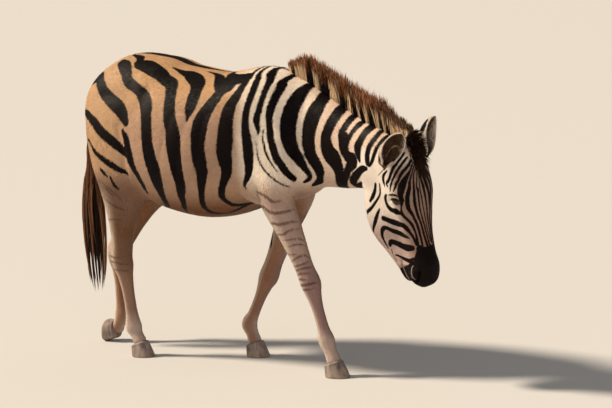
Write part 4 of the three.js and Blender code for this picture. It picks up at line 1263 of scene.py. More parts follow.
# %% Coat finish
class Nodes:
    """A short way to add shader nodes and join them."""

    def __init__(self, name):
        self.material = bpy.data.materials.new(name)
        self.material.use_nodes = True
        self.tree = self.material.node_tree
        self.shader = self.tree.nodes["Principled BSDF"]

    def add(self, kind, **settings):
        node = self.tree.nodes.new(kind)
        for key, value in settings.items():
            setattr(node, key, value)
        return node

    def join(self, source, target):
        self.tree.links.new(source, target)

    def attribute(self, name, output="Fac"):
        return self.add("ShaderNodeAttribute", attribute_name=name).outputs[output]

    def noise(self, scale, detail=3.0, stretch=None, roughness=0.5):
        """Noise over Object coordinates, -0.5 to 0.5 about."""
        coordinate = self.add("ShaderNodeTexCoord").outputs["Object"]
        if stretch:
            mapping = self.add("ShaderNodeMapping")
            mapping.inputs["Scale"].default_value = stretch
            self.join(coordinate, mapping.inputs["Vector"])
            coordinate = mapping.outputs["Vector"]
        node = self.add("ShaderNodeTexNoise")
        node.inputs["Scale"].default_value, node.inputs["Detail"].default_value = scale, detail
        node.inputs["Roughness"].default_value = roughness
        self.join(coordinate, node.inputs["Vector"])
        return self.math("SUBTRACT", node.outputs["Fac"], 0.5)

    def math(self, operation, *values):
        node = self.add("ShaderNodeMath", operation=operation)
        for k, value in enumerate(values):
            if isinstance(value, (int, float)):
                node.inputs[k].default_value = value
            else:
                self.join(value, node.inputs[k])
        return node.outputs[0]

    def step(self, value, low, high):
        node = self.add("ShaderNodeMapRange", interpolation_type="SMOOTHSTEP")
        node.inputs["From Min"].default_value, node.inputs["From Max"].default_value = low, high
        self.join(value, node.inputs["Value"])
        return node.outputs["Result"]

    def mix(self, share, first, second, blend="MIX"):
        node = self.add("ShaderNodeMix", data_type="RGBA", blend_type=blend)
        for value, socket in ((share, node.inputs[0]), (first, node.inputs[6]), (second, node.inputs[7])):
            if isinstance(value, (int, float)):
                socket.default_value = value
            elif isinstance(value, tuple):
                socket.default_value = (*value, 1)
            else:
                self.join(value, socket)
        return node.outputs[2]

    def bump(self, height, strength, distance):
        node = self.add("ShaderNodeBump")
        node.inputs["Strength"].default_value, node.inputs["Distance"].default_value = strength, distance
        self.join(height, node.inputs["Height"])
        self.join(node.outputs["Normal"], self.shader.inputs["Normal"])

    def finish(self, colour, roughness, sheen=0.0, specular=0.3):
        """Sets the shader: a colour from the nodes and plain numbers on its own sockets."""
        if isinstance(colour, tuple):
            self.shader.inputs["Base Color"].default_value = (*colour, 1)
        else:
            self.join(colour, self.shader.inputs["Base Color"])
        self.shader.inputs["Roughness"].default_value = roughness
        self.shader.inputs["Specular IOR Level"].default_value = specular
        self.shader.inputs["Sheen Weight"].default_value = sheen
        return self.material


BLACK_HAIR, BROWN_BAR, DUST = (0.0045, 0.0022, 0.0023), (0.085, 0.040, 0.028), (0.30, 0.20, 0.13)


def coat_finish(name, ragged, fleck):
    """Striped hair: ragged is how far fine noise shifts the stripe's edge, in metres."""
    n = Nodes(name)
    edge = n.math("MULTIPLY_ADD", n.noise(150, 2.0), ragged, n.attribute("ink"))
    black = n.step(edge, -0.0014, 0.0014)
    light = n.attribute("ground", "Color")
    soft = n.math("MULTIPLY_ADD", n.noise(90, 2.0), 0.004, n.attribute("bar"))
    light = n.mix(n.math("MULTIPLY", n.step(soft, -0.002, 0.002), 0.75), light, BROWN_BAR)
    patch = n.step(n.noise(7, 4.0), -0.15, 0.25)
    light = n.mix(n.math("MULTIPLY", patch, 0.22), light, DUST)
    fine = n.step(n.noise(260, 2.0), -0.3, 0.3)
    light = n.mix(n.math("MULTIPLY", fine, fleck), light, (0.30, 0.17, 0.09))
    dark = n.mix(n.math("MULTIPLY", patch, 0.012), BLACK_HAIR, DUST)
    colour = n.mix(black, light, dark)
    n.bump(n.noise(420, 2.0), 0.35, 0.0015)
    return n.finish(colour, 0.5, specular=0.06)


skin_finish = coat_finish("skin_striped", 0.005, 0.25)
print("coat finish:", skin_finish.name)

# %% [markdown]
# Short fur.  Particle hair would not survive the export, and modelled hairs would
# be millions, so the coat is a few hundred thousand small roof-shaped tufts, four
# triangles each, thin and overlapping like thatch.  Each starts at a random place
# of the skin and lies the way the hair lies there: back along the neck and barrel,
# down the legs and the face.

# %% The lie of the coat
def limb_shares(points, sharp=0.012):
    """How much each limb has a say at each point, from its distance, and the distances."""
    gaps = np.stack([limb.distance(points) for limb in LIMBS], 1)
    weight = np.exp(-np.clip((gaps - gaps.min(1, keepdims=True)) / sharp, 0, 30))
    return weight / weight.sum(1, keepdims=True), gaps.argmin(1)


def lie_of_coat(points, outs):
    """Direction of the hair along the skin: the limbs' own directions mixed, and laid flat."""
    share, nearest = limb_shares(points)
    way = np.zeros_like(points)
    for k, limb in enumerate(LIMBS):
        some = np.flatnonzero(share[:, k] > 0.01)
        if len(some):
            along = limb.at(limb.place_of(points[some]))[1] * limb.hair
            if limb.upright:
                along = along + np.array([0, 0, -0.45])
            way[some] += share[some, k:k + 1] * along
    way = way - (way * outs).sum(1, keepdims=True) * outs
    return unit(way), nearest


def limb_unwrap(points, nearest):
    """A place in the unit square from the limb's own shape: along it and round it, one cell of
    the square for each limb."""
    spot = np.zeros((len(points), 2))
    for k, limb in enumerate(LIMBS):
        some = np.flatnonzero(nearest == k)
        if len(some):
            place, a, u, v, sizes = limb.local(points[some])
            along = sizes[4] / limb.run[-1]
            spot[some] = np.column_stack([np.clip(along, 0, 1), np.arctan2(u, -v) / (2 * np.pi) + 0.5])
    return spot


def scatter(mesh, count, density, seed):
    """Random places on a mesh, as dense as `density` says at each face's middle: places,
    normals."""
    random = np.random.default_rng(seed)
    mesh.calc_loop_triangles()
    tris = np.empty(len(mesh.loop_triangles) * 3, np.int32)
    mesh.loop_triangles.foreach_get("vertices", tris)
    tris = tris.reshape(-1, 3)
    points, out = coords(mesh), normals(mesh)
    a, b, c = (points[tris[:, k]] for k in range(3))
    weight = np.linalg.norm(np.cross(b - a, c - a), axis=1) * density((a + b + c) / 3)
    total = np.cumsum(weight)
    pick = np.searchsorted(total, random.random(count) * total[-1])
    u, v = random.random((2, count))
    flip = u + v > 1
    u, v = np.where(flip, 1 - u, u), np.where(flip, 1 - v, v)
    shares = np.stack([1 - u - v, u, v], 1)[..., None]
    mix = lambda values: (values[tris[pick]] * shares).sum(1)
    return mix(points), unit(mix(out))


print("hair lies with the limb on", [limb.name for limb in LIMBS if limb.hair > 0])

# %% [markdown]
# The tufts.  A tuft stands for a pinch of hairs that lie together: a flat foot under
# the skin, two corners on it and a tip just off it.  It could be one flat triangle,
# but then it would vanish edge on; four closed triangles catch the light from every
# side.  Each takes the marks of the skin it lies on, and its place in the bake map
# comes from the limb it grows on.

# %% Tufts
TUFTS = 270000
MOST_TUFTS = 49500  # in one piece, which keeps it under 200,000 triangles
EAR_TUFTS = 3200  # on each ear


def coat_density(points):
    """More and smaller tufts on the head and the feet, none inside the open eyes."""
    dense = 1 + 2.6 * on_skull(points) + 1.2 * ramp(-points[:, 2], -0.55, -0.30)
    for side in (-1, 1):
        dense = dense * (slit_gap(points, side)[0] > 0.004)
    muzzle = on_skull(points) * ramp(head_local(points)[:, 0], 0.40, 0.47)
    return dense * (1 - 0.5 * muzzle)


def tuft_length(points):
    """13 mm on the body, 9 on the lower legs, 6 on the head and 3 on the muzzle."""
    head = on_skull(points)
    down = head_local(points)[:, 0]
    body = 0.0135 - 0.005 * ramp(-points[:, 2], -0.60, -0.25)
    face = 0.0065 - 0.0030 * ramp(down, 0.38, 0.46) - 0.001 * ramp(down, 0.1, 0.3)
    return body + head * (face - body)


def tuft_points(roots, outs, ways, lengths, random):
    """Four points of each tuft: a buried foot, two sides on the skin and a tip just off it."""
    count = len(roots)
    ways = spin(ways, outs, random.normal(0, 0.16, count))
    side = np.cross(outs, ways)
    long = lengths * random.uniform(0.75, 1.25, count)
    wide = long * random.uniform(0.17, 0.25, count)
    lift = long * random.uniform(0.07, 0.17, count)
    foot = roots - 0.35 * long[:, None] * ways - 0.0006 * outs
    middle = roots + 0.0004 * outs
    tip = roots + 0.65 * long[:, None] * ways + lift[:, None] * outs
    points = np.stack([foot, middle - side * wide[:, None] / 2, middle + side * wide[:, None] / 2, tip], 1)
    return points, roots + 0.2 * long[:, None] * ways


def tuft_object(name, points, spots, black, faint, ground, finish):
    """One coat piece: four points and four triangles a tuft."""
    count = len(points)
    roof = np.array([[0, 3, 1], [0, 2, 3], [1, 3, 2], [0, 1, 2]])
    triangles = (np.arange(count)[:, None, None] * 4 + roof[None]).reshape(-1, 3)
    made = triangle_object(name, points.reshape(-1, 3), triangles)
    for label, values in (("ink", black), ("bar", faint), ("ground", ground)):
        put_values(made.data, label, np.repeat(values, 4, axis=0))
    put_patches(made.data, spots, 4)
    hand_over(made, finish, "coat")


print(TUFTS, "tufts on the body")

# %% [markdown]
# Parting the coat.  One mesh of all the tufts would be too heavy to handle, so they
# are parted by the limb they grow on, and the barrel, the head and the hind legs
# also by their side.

# %% Coat pieces
COAT_PIECES = {"coat_barrel_right": 0, "coat_barrel_left": 1, "coat_quarters": 2, "coat_neck": 3,
               "coat_fore_legs": 4, "coat_hind_leg_right": 5, "coat_hind_leg_left": 6,
               "coat_head_right": 7, "coat_head_left": 8}


def piece_of(roots, nearest):
    """The coat piece each tuft belongs to, by its limb."""
    table = {"barrel": 0, "quarters": 2, "neck": 3, "dock": 2, "fore": 4, "hind": 5, "skull": 7, "jaw": 7}
    group = np.array([table[name.split("_")[0]] for name in LIMB_NAMES])[nearest]
    group = group + ((group == 0) & (roots[:, 1] > 0)) + (nearest == LIMB_NAMES.index("hind_left"))
    return group + ((group == 7) & (head_local(roots)[:, 1] > 0))


def cell_of(spots, nearest, name):
    """Gives the limbs that share a piece their own columns of the unit square."""
    members = {"coat_quarters": ["quarters", "dock"], "coat_fore_legs": ["fore_right", "fore_left"],
               "coat_head_right": ["skull", "jaw"], "coat_head_left": ["skull", "jaw"]}.get(name)
    if not members:
        return spots
    columns = [members.index(limb) if limb in members else 0 for limb in LIMB_NAMES]
    column = np.array(columns)[nearest]
    return np.column_stack([(spots[:, 0] + column) / len(members), spots[:, 1]])


def grow_coat(mesh):
    """Scatters the tufts, marks them as the skin is marked, and parts them into pieces."""
    random = np.random.default_rng(11)
    roots, outs = scatter(mesh, TUFTS, coat_density, 5)
    ways, nearest = lie_of_coat(roots, outs)
    points, middles = tuft_points(roots, outs, ways, tuft_length(roots), random)
    black, faint = markings(middles)
    shade = random.normal(1, 0.10, len(roots)).clip(0.7, 1.3)
    ground = np.clip(ground_colour(middles) * shade[:, None], 0, 1)
    spots = limb_unwrap(roots, nearest)
    group = piece_of(roots, nearest)
    finish = coat_finish("fur_striped", 0.004, 0.0)
    for name, number in COAT_PIECES.items():
        some = np.flatnonzero(group == number)
        if len(some) > MOST_TUFTS:
            some = some[random.permutation(len(some))[:MOST_TUFTS]]
        cells = cell_of(spots[some], nearest[some], name)
        tuft_object(name, points[some], cells, black[some], faint[some], ground[some], finish)
        print(name, len(some), "tufts")


def grow_ear_coat():
    """Flat tufts on the backs of both ears, lying towards the tips."""
    random = np.random.default_rng(12)
    parts = []
    for k, spec in enumerate(EARS.values()):
        axes = ear_axes(*spec)
        share, turn = random.uniform(0.08, 0.96, EAR_TUFTS), random.uniform(-0.98, 0.98, EAR_TUFTS)
        roots = ear_point(axes, share, turn, 0.0)
        outs = unit(ear_point(axes, share, turn, -1.0) - roots)
        ways = unit(ear_point(axes, share + 0.03, turn, 0.0) - roots)
        points, _ = tuft_points(roots, outs, ways, np.full(EAR_TUFTS, 0.0085), random)
        ink, ground = ear_colours(share, turn, np.zeros(EAR_TUFTS))
        parts.append((points, np.column_stack([(share + k) / 2, turn / 2 + 0.5]), ink, ground))
    points, spots, ink, ground = (np.concatenate(part) for part in zip(*parts))
    ground = np.clip(ground * random.normal(1, 0.1, (len(ground), 1)).clip(0.7, 1.2), 0, 1)
    faint = np.full(len(ink), -BAR_REACH)
    tuft_object("coat_ears", points, spots, ink, faint, ground, coat_finish("fur_ear", 0.004, 0.0))


grow_coat(skin.data)
grow_ear_coat()

# %% [markdown]
# The mane.  A zebra's mane is a stiff brush standing on the crest; the stripes of
# the neck run up through it and it ends in rusty tips.  Each lock is a thin closed
# spindle.  Its foot takes its colour from the stripe it grows in.

# %% Mane
MANE_HEIGHT, MANE_LOCKS = 116 * MM, 4200
FORELOCK_LOCKS = 1500


def crest_line():
    """The top of the neck from the withers to the poll: places, the way up and the way along."""
    neck = LIMBS[LIMB_NAMES.index("neck")]
    top = neck.centre + neck.up * neck.front[:, None]
    places, ups = top[4:], neck.up[4:]
    poll, brow = head_point([-0.046, 0, -0.004]), head_point([0.004, 0, 0.006])
    steep = unit(ups[-1] + [0.1, 0, 0.3])
    places, ups = np.vstack([places, poll, brow]), np.vstack([ups, steep, steep])
    return nearest_skin(hide_tree, places + 0.04 * ups), ups


def along_line(places, share):
    """Points at shares of a line's length."""
    run = np.r_[0, np.cumsum(np.linalg.norm(np.diff(places, axis=0), axis=1))]
    want = share * run[-1]
    return np.column_stack([np.interp(want, run, places[:, k]) for k in range(3)])


def mane_colour(ink, share, rust):
    """Dark or pale as the stripe below, turning to rust towards the tip."""
    dark, pale = np.array([0.006, 0.003, 0.0027]), np.array([0.72, 0.52, 0.32])
    rusty = np.array([0.020, 0.008, 0.004]) + rust[:, None] * np.array([0.34, 0.115, 0.034])
    base = np.where(ink[:, None] > 0, dark, pale)
    low = np.where(ink > 0, 0.50, 0.60)
    turn = ramp(share, low, low + 0.22)[:, None]
    return base + turn * (rusty - base)


def hair_finish(name, roughness=0.45):
    """Long hair: the colour at each point, with fine streaks of light and dark."""
    n = Nodes(name)
    colour = n.attribute("hair", "Color")
    streak = n.step(n.noise(160, 2.0), -0.3, 0.3)
    colour = n.mix(n.math("MULTIPLY", streak, 0.25), colour, (0.012, 0.006, 0.004))
    n.bump(n.noise(500, 2.0), 0.3, 0.001)
    return n.finish(colour, roughness, specular=0.08)


def hair_object(name, made_of, colour_of, spots, finish, slot, *replaced):
    """A piece of long hair from locks, with its colours and its bake map."""
    points, triangles, share, per = made_of
    made = triangle_object(name, points, triangles, smooth=True)
    put_values(made.data, "hair", np.clip(colour_of(share), 0, 1))
    put_patches(made.data, spots, per)
    hand_over(made, finish, slot, *replaced)
    print(name, len(spots), "locks,", len(triangles), "triangles")


def grow_mane():
    """Locks scattered across the crest, leaning back a little at the withers, where they are
    shortest, and shorter again towards the forelock."""
    random = np.random.default_rng(21)
    places, ups = crest_line()
    count = MANE_LOCKS
    share = (np.arange(count) + random.random(count)) / count
    roots, up = along_line(places, share), unit(along_line(ups, share))
    next_on, last_on = (along_line(places, np.clip(share + step, 0, 1)) for step in (0.01, -0.01))
    ahead = unit(next_on - last_on)
    side = np.cross(up, ahead)
    spread = random.normal(0, 0.42, count).clip(-1, 1)
    stand = ramp(share, -0.03, 0.14)
    drop = 1 - 0.5 * ramp(share, 0.76, 1)
    lengths = MANE_HEIGHT * (0.42 + 0.58 * stand) * (1 + 0.12 * share) * drop
    uneven = 1 + 0.05 * np.sin(share * 90) + 0.04 * np.sin(share * 217)
    lengths = lengths * random.uniform(0.80, 1.08, count) * uneven
    roots = roots + side * (spread * 15 * MM)[:, None] - up * 0.010 * (1 + 0.5 * spread[:, None]**2)
    lean = random.normal(0.17, 0.09, count) - 0.17 * share
    ways = unit(up + side * spread[:, None] * 0.16 - ahead * lean[:, None])
    bends = -ahead * random.normal(0.10, 0.06, count)[:, None] + side * random.normal(0, 0.05, count)[:, None]
    ink, _ = markings(roots + up * 0.004)
    ink = ink + random.normal(0, 0.0025, count)
    rust = random.random(count)**1.3 * (1 - 0.65 * ramp(share, 0.70, 0.95))
    shade = random.normal(1, 0.14, count).clip(0.6, 1.4)
    made = locks(roots, ways, bends, ahead, lengths, random.uniform(3.2, 5.5, count) * MM,
                 random.uniform(2.0, 3.2, count) * MM)
    ink, rust, shade = (np.repeat(values, made[3]) for values in (ink, rust, shade))
    colour = lambda s: mane_colour(ink, s, rust) * shade[:, None]
    spots = np.column_stack([share, 0.5 + 0.45 * spread])
    hair_object("mane_locks", made, colour, spots, hair_finish("mane_hair"), "mane", "mane")


grow_mane()

# %% [markdown]
# The forelock is the front of the mane: dark hair that stands up between the ears
# and falls over the forehead.

# %% Forelock
def grow_forelock():
    """Locks from the poll to the forehead, thrown forward and down the face."""
    random = np.random.default_rng(22)
    count = FORELOCK_LOCKS
    down = random.uniform(-0.075, 0.078, count)
    left = random.normal(0, 0.42, count).clip(-1, 1) * (0.034 - 0.30 * np.clip(down, 0, 1))
    roots = nearest_skin(hide_tree, head_point(np.column_stack([down, left - 0.009, np.full(count, 0.03)])))
    falls = ramp(down, -0.065, 0.06)  # 0 where the hair stands between the ears, 1 on the forehead
    ways = unit(FACE_OUT * (0.75 - 0.10 * falls)[:, None] + FACE_DOWN * (-0.95 + 1.35 * falls)[:, None]
                + FACE_LEFT * (left * 9 + random.normal(0, 0.17, count))[:, None])
    bends = FACE_DOWN * (0.30 + 0.25 * random.random(count))[:, None] - FACE_OUT * (0.12 * falls)[:, None]
    lengths = (0.082 - 0.030 * falls) * random.uniform(0.55, 1.15, count)
    shade = random.uniform(0.6, 1.5, count)
    made = locks(roots - FACE_OUT * 0.006, ways, bends, np.tile(FACE_LEFT, (count, 1)), lengths,
                 random.uniform(3.0, 5.0, count) * MM, random.uniform(1.8, 3.0, count) * MM)
    dark, brown = np.array([0.006, 0.0035, 0.003]), np.array([0.055, 0.019, 0.007])
    tint, shade = np.repeat(random.uniform(0.2, 0.9, count), made[3]), np.repeat(shade, made[3])
    colour = lambda s: (dark + (ramp(s, 0.45, 1.0) * tint)[:, None] * (brown - dark)) * shade[:, None]
    spots = np.clip(np.column_stack([(down + 0.06) / 0.14, 0.5 + left * 10]), 0, 1)
    hair_object("forelock_locks", made, colour, spots, hair_finish("forelock_hair"), "mane", "forelock")


grow_forelock()

# %% [markdown]
# The tail.  Its upper half is skin with short hair; from half way down, long hair
# hangs in strands that gather towards a thin end.  The middle is black and the
# outer strands are brown.

# %% Tail hair
TUFT = [[-1050, 826, 24, 24], [-1058, 740, 40, 38], [-1064, 620, 52, 50], [-1066, 500, 54, 53],
        [-1066, 390, 50, 50], [-1064, 300, 40, 40], [-1062, 240, 26, 26]]


TAIL_LOCKS, TAIL_WISPS = 1500, 38


def tail_colours(rim, random):
    """Colour at the foot of each lock: black in the middle, brown on the outside, and tan on
    some of the outer locks."""
    count = len(rim)
    black, brown, tan = map(np.array, ([0.010, 0.0055, 0.0045], [0.15, 0.068, 0.032], [0.36, 0.21, 0.11]))
    outer = ramp(rim, 0.60, 0.88) * ramp(random.random(count), 0.05, 0.5)
    lead = black + outer[:, None] * (brown - black)
    lead = lead + (outer * (random.random(count) > 0.72))[:, None] * (tan - lead) * 0.7
    return lead * random.uniform(0.7, 1.3, count)[:, None]


def grow_tail():
    """Strands that leave the dock and gather into wisps: each wisp follows its own place in the
    tuft's outline, sways a little and ends at its own height."""
    random = np.random.default_rng(23)
    count, wisps, rings = TAIL_LOCKS, TAIL_WISPS, 9
    high = random.uniform(0.80, 1.06, count)
    dock = LIMBS[LIMB_NAMES.index("dock")]
    dock_x, dock_half = (np.interp(high, dock.centre[::-1, 2], part[::-1])
                         for part in (dock.centre[:, 0], dock.half))
    angle = random.uniform(-np.pi, np.pi, count)
    mine = random.integers(0, wisps, count)
    wisp_turn, rim = random.uniform(-np.pi, np.pi, wisps)[mine], np.sqrt(random.random(wisps))[mine]
    wisp_low, phase = 0.235 + 0.44 * random.beta(0.9, 1.7, wisps)[mine], random.uniform(0, 6, wisps)[mine]
    low = np.minimum(wisp_low + random.uniform(0, 0.12, count), high - 0.18)
    t = np.linspace(0, 1, rings + 1)
    z = high[:, None] + (low - high)[:, None] * t
    table = smooth_rows(TUFT, 6)[::-1] * MM
    middle, deep, half = (np.interp(z, table[:, 1], table[:, k]) for k in (0, 2, 3))
    turn = wisp_turn[:, None] + 0.35 * np.sin(6 * z + phase[:, None])
    loose = 0.010 * (1 - 0.75 * t) * np.sqrt(random.random((count, 1)))
    x = middle + 0.95 * deep * rim[:, None] * np.cos(turn) + loose * np.cos(angle)[:, None]
    y = half * rim[:, None] * np.sin(turn) + loose * np.sin(angle)[:, None]
    path = np.stack([x, y, z], -1)
    round_dock = np.column_stack([np.cos(angle), np.sin(angle)])
    start = (np.column_stack([dock_x, 0 * dock_x]) + (dock_half - 0.006)[:, None] * round_dock)[:, None]
    path[..., :2] = start + ramp(t, 0.0, 0.45)[:, None] * (path[..., :2] - start)
    run = unit(np.diff(path, axis=1))
    across = unit(np.cross(run, np.column_stack([round_dock, np.zeros(count)])[:, None]))
    widths, depths = random.uniform(2.4, 4.4, count) * MM, random.uniform(1.5, 2.4, count) * MM
    size = swell(t[:-1], 0.5, 1.3, 0.6) / 2
    made = spindles(path, (widths[:, None] * size)[..., None] * across,
                    (depths[:, None] * size)[..., None] * np.cross(across, run), t)
    lead = np.repeat(tail_colours(rim, random), made[3], axis=0)
    colour = lambda s: lead * (1 + 1.2 * s[:, None])
    spots = np.clip(np.column_stack([(high - 0.80) / 0.27, angle / (2 * np.pi) + 0.5]), 0, 1)
    hair_object("tail_locks", made, colour, spots, hair_finish("tail_hair"), "mane", "tail_tuft")


grow_tail()

# %% [markdown]
# Eyes.  A zebra's eye is a dark brown ball with a level pupil; what shows is mostly
# its wet gloss.  The ball is a grid of rings from its pole at the pupil, with the
# clear front bulging a little, and its colour depends on the distance from the pole.

# %% Eyeballs
def eyeball(side):
    """Rings of a ball round its outward axis, with the cornea 1.2 mm proud."""
    middle, front, upper, outward = eye_frame(side)
    tilt = np.linspace(0.02, np.pi - 0.02, 26)[:, None]
    turn = np.linspace(0, 2 * np.pi, 40, endpoint=False)[None]
    radius = EYE_RADIUS + 0.0012 * np.exp(-(tilt / 0.45)**2)
    a, b = np.sin(tilt) * np.cos(turn) * side, np.sin(tilt) * np.sin(turn)
    c = np.broadcast_to(np.cos(tilt), a.shape)
    local = np.stack([a, b, c], -1) * radius[..., None]
    axes = np.array([front, upper, outward])
    points, faces = close_rings(middle + local @ axes)
    made = new_object("eyeball_right" if side < 0 else "eyeball_left", points, faces)
    flat = np.vstack([local.reshape(-1, 3), [[0, 0, EYE_RADIUS], [0, 0, -EYE_RADIUS]]])
    level, rise, out = flat.T
    put_values(made.data, "pupil", ramp(-np.hypot(level / 0.0085, rise / 0.0050), -1.15, -0.9) * (out > 0))
    put_values(made.data, "iris", ramp(-np.hypot(level, rise), -0.0160, -0.0140) * (out > 0))
    return made


def eye_finish():
    """Near-black brown iris, black pupil, dusky white, under a wet clear coat."""
    n = Nodes("eye_wet")
    iris = n.mix(n.step(n.noise(900, 2.0), -0.3, 0.3), (0.020, 0.009, 0.005), (0.009, 0.0045, 0.003))
    colour = n.mix(n.attribute("iris"), (0.05, 0.026, 0.019), iris)
    colour = n.mix(n.attribute("pupil"), colour, (0.002, 0.002, 0.003))
    n.shader.inputs["Coat Weight"].default_value = 0.3
    n.shader.inputs["Coat Roughness"].default_value = 0.04
    return n.finish(colour, 0.15, specular=0.25)


wet = eye_finish()
for side, node in ((-1, "eye_right"), (1, "eye_left")):
    hand_over(eyeball(side), wet, "eye", node)
print("eyes", 2 * EYE_RADIUS / MM, "mm across")

# %% [markdown]
# Lashes and ear hair are short stiff locks of the same kind as the mane's, only finer.

# %% Lashes and ear hair
def grow_lashes():
    """Lashes out of the rims of both upper lids."""
    random = np.random.default_rng(31)
    roots, ways, sides = [], [], []
    for side in (-1, 1):
        middle, front, upper, outward = eye_frame(side)
        a = np.linspace(-0.8, 0.85, 46) * SLIT["half"]
        b = SLIT["upper"] * (1 - (np.abs(a) / SLIT["half"])**2.2) + 0.0008
        c = np.sqrt(np.maximum((EYE_RADIUS + 0.003)**2 - a**2 - b**2, 1e-8))
        roots.append(middle + a[:, None] * front + b[:, None] * upper + c[:, None] * outward)
        ways.append(unit(outward * 0.95 - upper * 0.35 + front * (a / SLIT["half"])[:, None] * 0.5))
        sides.append(np.tile(front, (len(a), 1)))
    roots, ways, sides = map(np.vstack, (roots, ways, sides))
    count = len(roots)
    made = locks(roots - ways * 0.002, ways, np.tile([0, 0, -0.25], (count, 1)), sides,
                 random.uniform(0.010, 0.016, count), np.full(count, 0.0009), np.full(count, 0.0008), rings=3)
    colour = lambda s: np.tile([0.014, 0.010, 0.009], (len(s), 1))
    hair_object("lashes", made, colour, random.random((count, 2)), hair_finish("lash_hair"), "mane")


def grow_ear_hair():
    """Brown hair inside both ears, longest in the funnel, and a pale fringe on the rims."""
    random = np.random.default_rng(32)
    count, parts, tints = 620, [], []
    for spec in EARS.values():
        axes = ear_axes(*spec)
        root, axis, mouth, side = axes
        share, turn = random.uniform(0.12, 0.93, count), random.uniform(-1, 1, count)
        fringe = np.arange(count) % 3 == 0
        turn = np.where(fringe, np.sign(turn) * random.uniform(0.93, 0.99, count), turn * 0.9)
        roots = ear_point(axes, share, turn, np.where(fringe, 1.0, EAR_WALL))
        inward = unit(ear_point(axes, share, turn, 12.0) - ear_point(axes, share, turn, 0.0))
        ways = unit(0.75 * axis + inward * np.where(fringe, 0.1, 0.55)[:, None]
                    + random.normal(0, 0.15, (count, 3)))
        lengths = np.where(fringe, 0.011, 0.017) * random.uniform(0.7, 1.2, count) * (1 - 0.45 * share)
        parts.append((roots, ways, mouth * 0.12 + np.zeros((count, 3)), np.tile(side, (count, 1)), lengths))
        deep = (~fringe)[:, None] * (0.55 + 0.45 * random.random((count, 1))**0.3)
        tints.append(EAR_PALE + deep * (np.array([0.070, 0.028, 0.011]) - EAR_PALE))
    roots, ways, bends, sides, lengths = (np.concatenate(column) for column in zip(*parts))
    every = len(roots)
    tint = np.vstack(tints) * random.uniform(0.75, 1.2, (every, 1))
    made = locks(roots, ways, bends, sides, lengths, np.full(every, 0.0022), np.full(every, 0.0011), rings=3)
    colour = lambda s: np.repeat(tint, made[3], axis=0)
    finish = hair_finish("ear_hair_finish", 0.6)
    hair_object("ear_hair", made, colour, random.random((every, 2)), finish, "coat")


grow_lashes()
grow_ear_hair()

# %% [markdown]
# Hooves.  One toe to each foot: a wall of horn that widens to the floor, a band
# where it leaves the skin, and fine rings of growth.  The bottom edge is worn
# round and chipped, and dust sticks to the horn.

# %% Hooves
SOLE = {"toe": 62, "heel": 46, "half": 44}
CORONET = {"toe": 38, "heel": 36, "half": 36}
HOOF_TOE, HOOF_HEEL = 74, 44
HOOF_LEAN, HOOF_FORWARD, HOOF_SQUARE = 14, 8, 2.3
HOOVES = {"hoof_right_fore": ("fore_right", 0), "hoof_left_fore": ("fore_left", 0),
          "hoof_right_hind": ("hind_right", 0), "hoof_left_hind": ("hind_left", 101)}


def hoof(name, leg, tilt):
    """Rings from the sole up to the coronet: a squared oval whose toe is longer than its heel;
    the wall is ringed by growth of 0.5 mm and rounded in at the floor."""
    share = np.r_[0.0, 0.015, 0.05, np.linspace(0.09, 0.93, 26), 0.965, 0.99, 1.0][:, None]
    angle = np.linspace(0, 2 * np.pi, 64, endpoint=False)[None]
    mix = lambda key: SOLE[key] + (CORONET[key] - SOLE[key]) * share
    c, s = np.cos(angle), np.sin(angle)
    swelling = 0.8 * np.exp(-((share - 0.88) / 0.03)**2)
    round_in = -2.6 * np.exp(-share / 0.02) - 5.0 * ramp(share, 0.93, 1.0) + swelling
    growth = 0.45 * np.sin(share * 52 + 0.5 * c) * ramp(share, 0.05, 0.15) * ramp(-share, -0.88, -0.8)
    worn = 0.7 * np.sin(angle * 7 + 1.3) * np.exp(-share / 0.04)
    grow = -0.6 + round_in + growth + worn
    u = np.sign(c) * np.abs(c)**(2 / HOOF_SQUARE) * (np.where(c > 0, mix("toe"), mix("heel")) + grow)
    v = np.sign(s) * np.abs(s)**(2 / HOOF_SQUARE) * (mix("half") + grow)
    pivot = np.array([0, 0, (HOOF_TOE + HOOF_HEEL) / 2])
    top = pivot[2] + (HOOF_TOE - HOOF_HEEL) / 2 * (u / CORONET["toe"])
    local = np.stack([u - HOOF_LEAN * share + HOOF_FORWARD, v, share * top], -1)
    tip, side, high = LEG_JOINTS[leg][-1]
    turned = (local - pivot) @ np.array(Matrix.Rotation(math.radians(tilt), 3, "Y")).T
    middle = np.array([tip, side, high if tilt else pivot[2]])
    points, faces = close_rings((turned + middle)[:, ::-1] * MM)
    made = new_object(name + "_horn", points, faces)
    put_values(made.data, "height", np.r_[np.broadcast_to(share, u.shape).ravel(), 0, 1])
    return made


def horn_finish():
    """Grey-brown horn with streaks down the wall, a pale band at the top and dust."""
    n = Nodes("hoof_horn")
    streak = n.step(n.noise(60, 4.0, (1, 1, 0.12)), -0.25, 0.25)
    colour = n.mix(streak, (0.11, 0.088, 0.080), (0.36, 0.28, 0.245))
    height = n.attribute("height")
    colour = n.mix(n.math("MULTIPLY", n.step(height, 0.86, 0.97), 0.5), colour, (0.25, 0.18, 0.14))
    low = n.math("ADD", n.noise(35, 5.0), n.math("MULTIPLY", height, -0.3))
    colour = n.mix(n.math("MULTIPLY", n.step(low, -0.25, 0.10), 0.55), colour, (0.36, 0.27, 0.19))
    n.bump(n.noise(120, 5.0, (1, 1, 3.0)), 0.5, 0.002)
    return n.finish(colour, 0.7, specular=0.3)


horn = horn_finish()
for node, (leg, tilt) in HOOVES.items():
    hand_over(hoof(node, leg, tilt), horn, "horn", node)
print("hooves:", list(HOOVES))

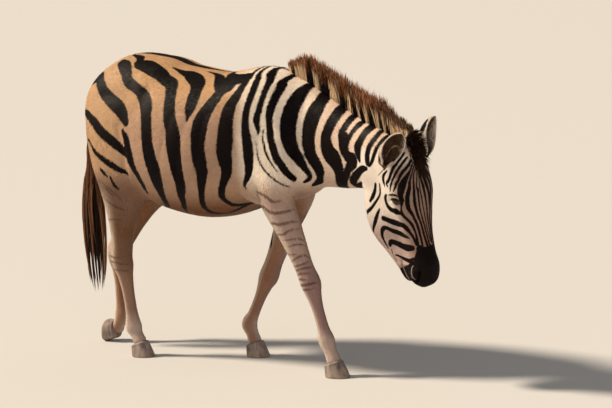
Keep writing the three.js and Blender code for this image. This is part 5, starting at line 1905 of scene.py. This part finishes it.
# %% [markdown]
# The studio.  Warm sun comes from behind the tail, half way up the sky, and lights
# the back; the sky itself is weak and nearly white.  A lamp close by could be the
# sun, but its light would fade across the body; a far one keeps it even.  A large
# soft lamp lightens the shade on the right side, and a plain pale floor takes the
# shadow.

# %% Studio
def add_lamp(lamp, place, shine, energy, colour):
    """Puts a lamp at a place and turns it to shine along a way."""
    lamp.energy, lamp.color = energy, colour
    made = bpy.data.objects.new(lamp.name, lamp)
    bpy.context.scene.collection.objects.link(made)
    made.location = place
    made.rotation_euler = Vector(shine.tolist()).to_track_quat("-Z", "Y").to_euler()


def add_floor():
    """A wide flat square, half a millimetre under the feet."""
    reach = 400.0
    corners = np.array([[-reach, -reach, 0], [reach, -reach, 0], [reach, reach, 0], [-reach, reach, 0]])
    made = new_object("floor", corners - SHIFT - [0, 0, 0.0005], [[0, 1, 2, 3]])
    paint = bpy.data.materials.new("floor_paint")
    paint.use_nodes = True
    base = paint.node_tree.nodes["Principled BSDF"]
    base.inputs["Base Color"].default_value = (0.55, 0.54, 0.525, 1)
    base.inputs["Roughness"].default_value = 0.9
    made.data.materials.append(paint)


add_floor()
bpy.context.scene.view_settings.view_transform = "Standard"
world = bpy.data.worlds.new("room")
bpy.context.scene.world = world
world.use_nodes = True
sky = world.node_tree.nodes["Background"]
sky.inputs["Color"].default_value = (0.90, 0.88, 0.86, 1)
sky.inputs["Strength"].default_value = 0.33
sun, fill = bpy.data.lights.new("key", "SUN"), bpy.data.lights.new("fill", "AREA")
sun.angle, fill.size = math.radians(8), 4.0
sun_place, fill_place = np.array([-5.2, -2.1, 5.4]), np.array([4.5, -6.5, 2.6])
add_lamp(sun, sun_place, -sun_place, 5.5, (1.0, 0.86, 0.68))
add_lamp(fill, fill_place, AIM - fill_place, 70, (1.0, 0.93, 0.90))
print("lamps:", [lamp.name for lamp in bpy.data.lights])

# %% [markdown]
# Last, the skin with its ears takes the place of every solid of flesh.  It is one piece, as a hide is, and
# the bare net it was grown from is thrown away.

# %% Hand over
bpy.data.objects.remove(skin)
hand_over(skin_whole, skin_finish, "coat", "trunk", "neck", "head", "ear_right", "ear_left", "tail",
          "leg_right_fore", "leg_left_fore", "leg_right_hind", "leg_left_hind")
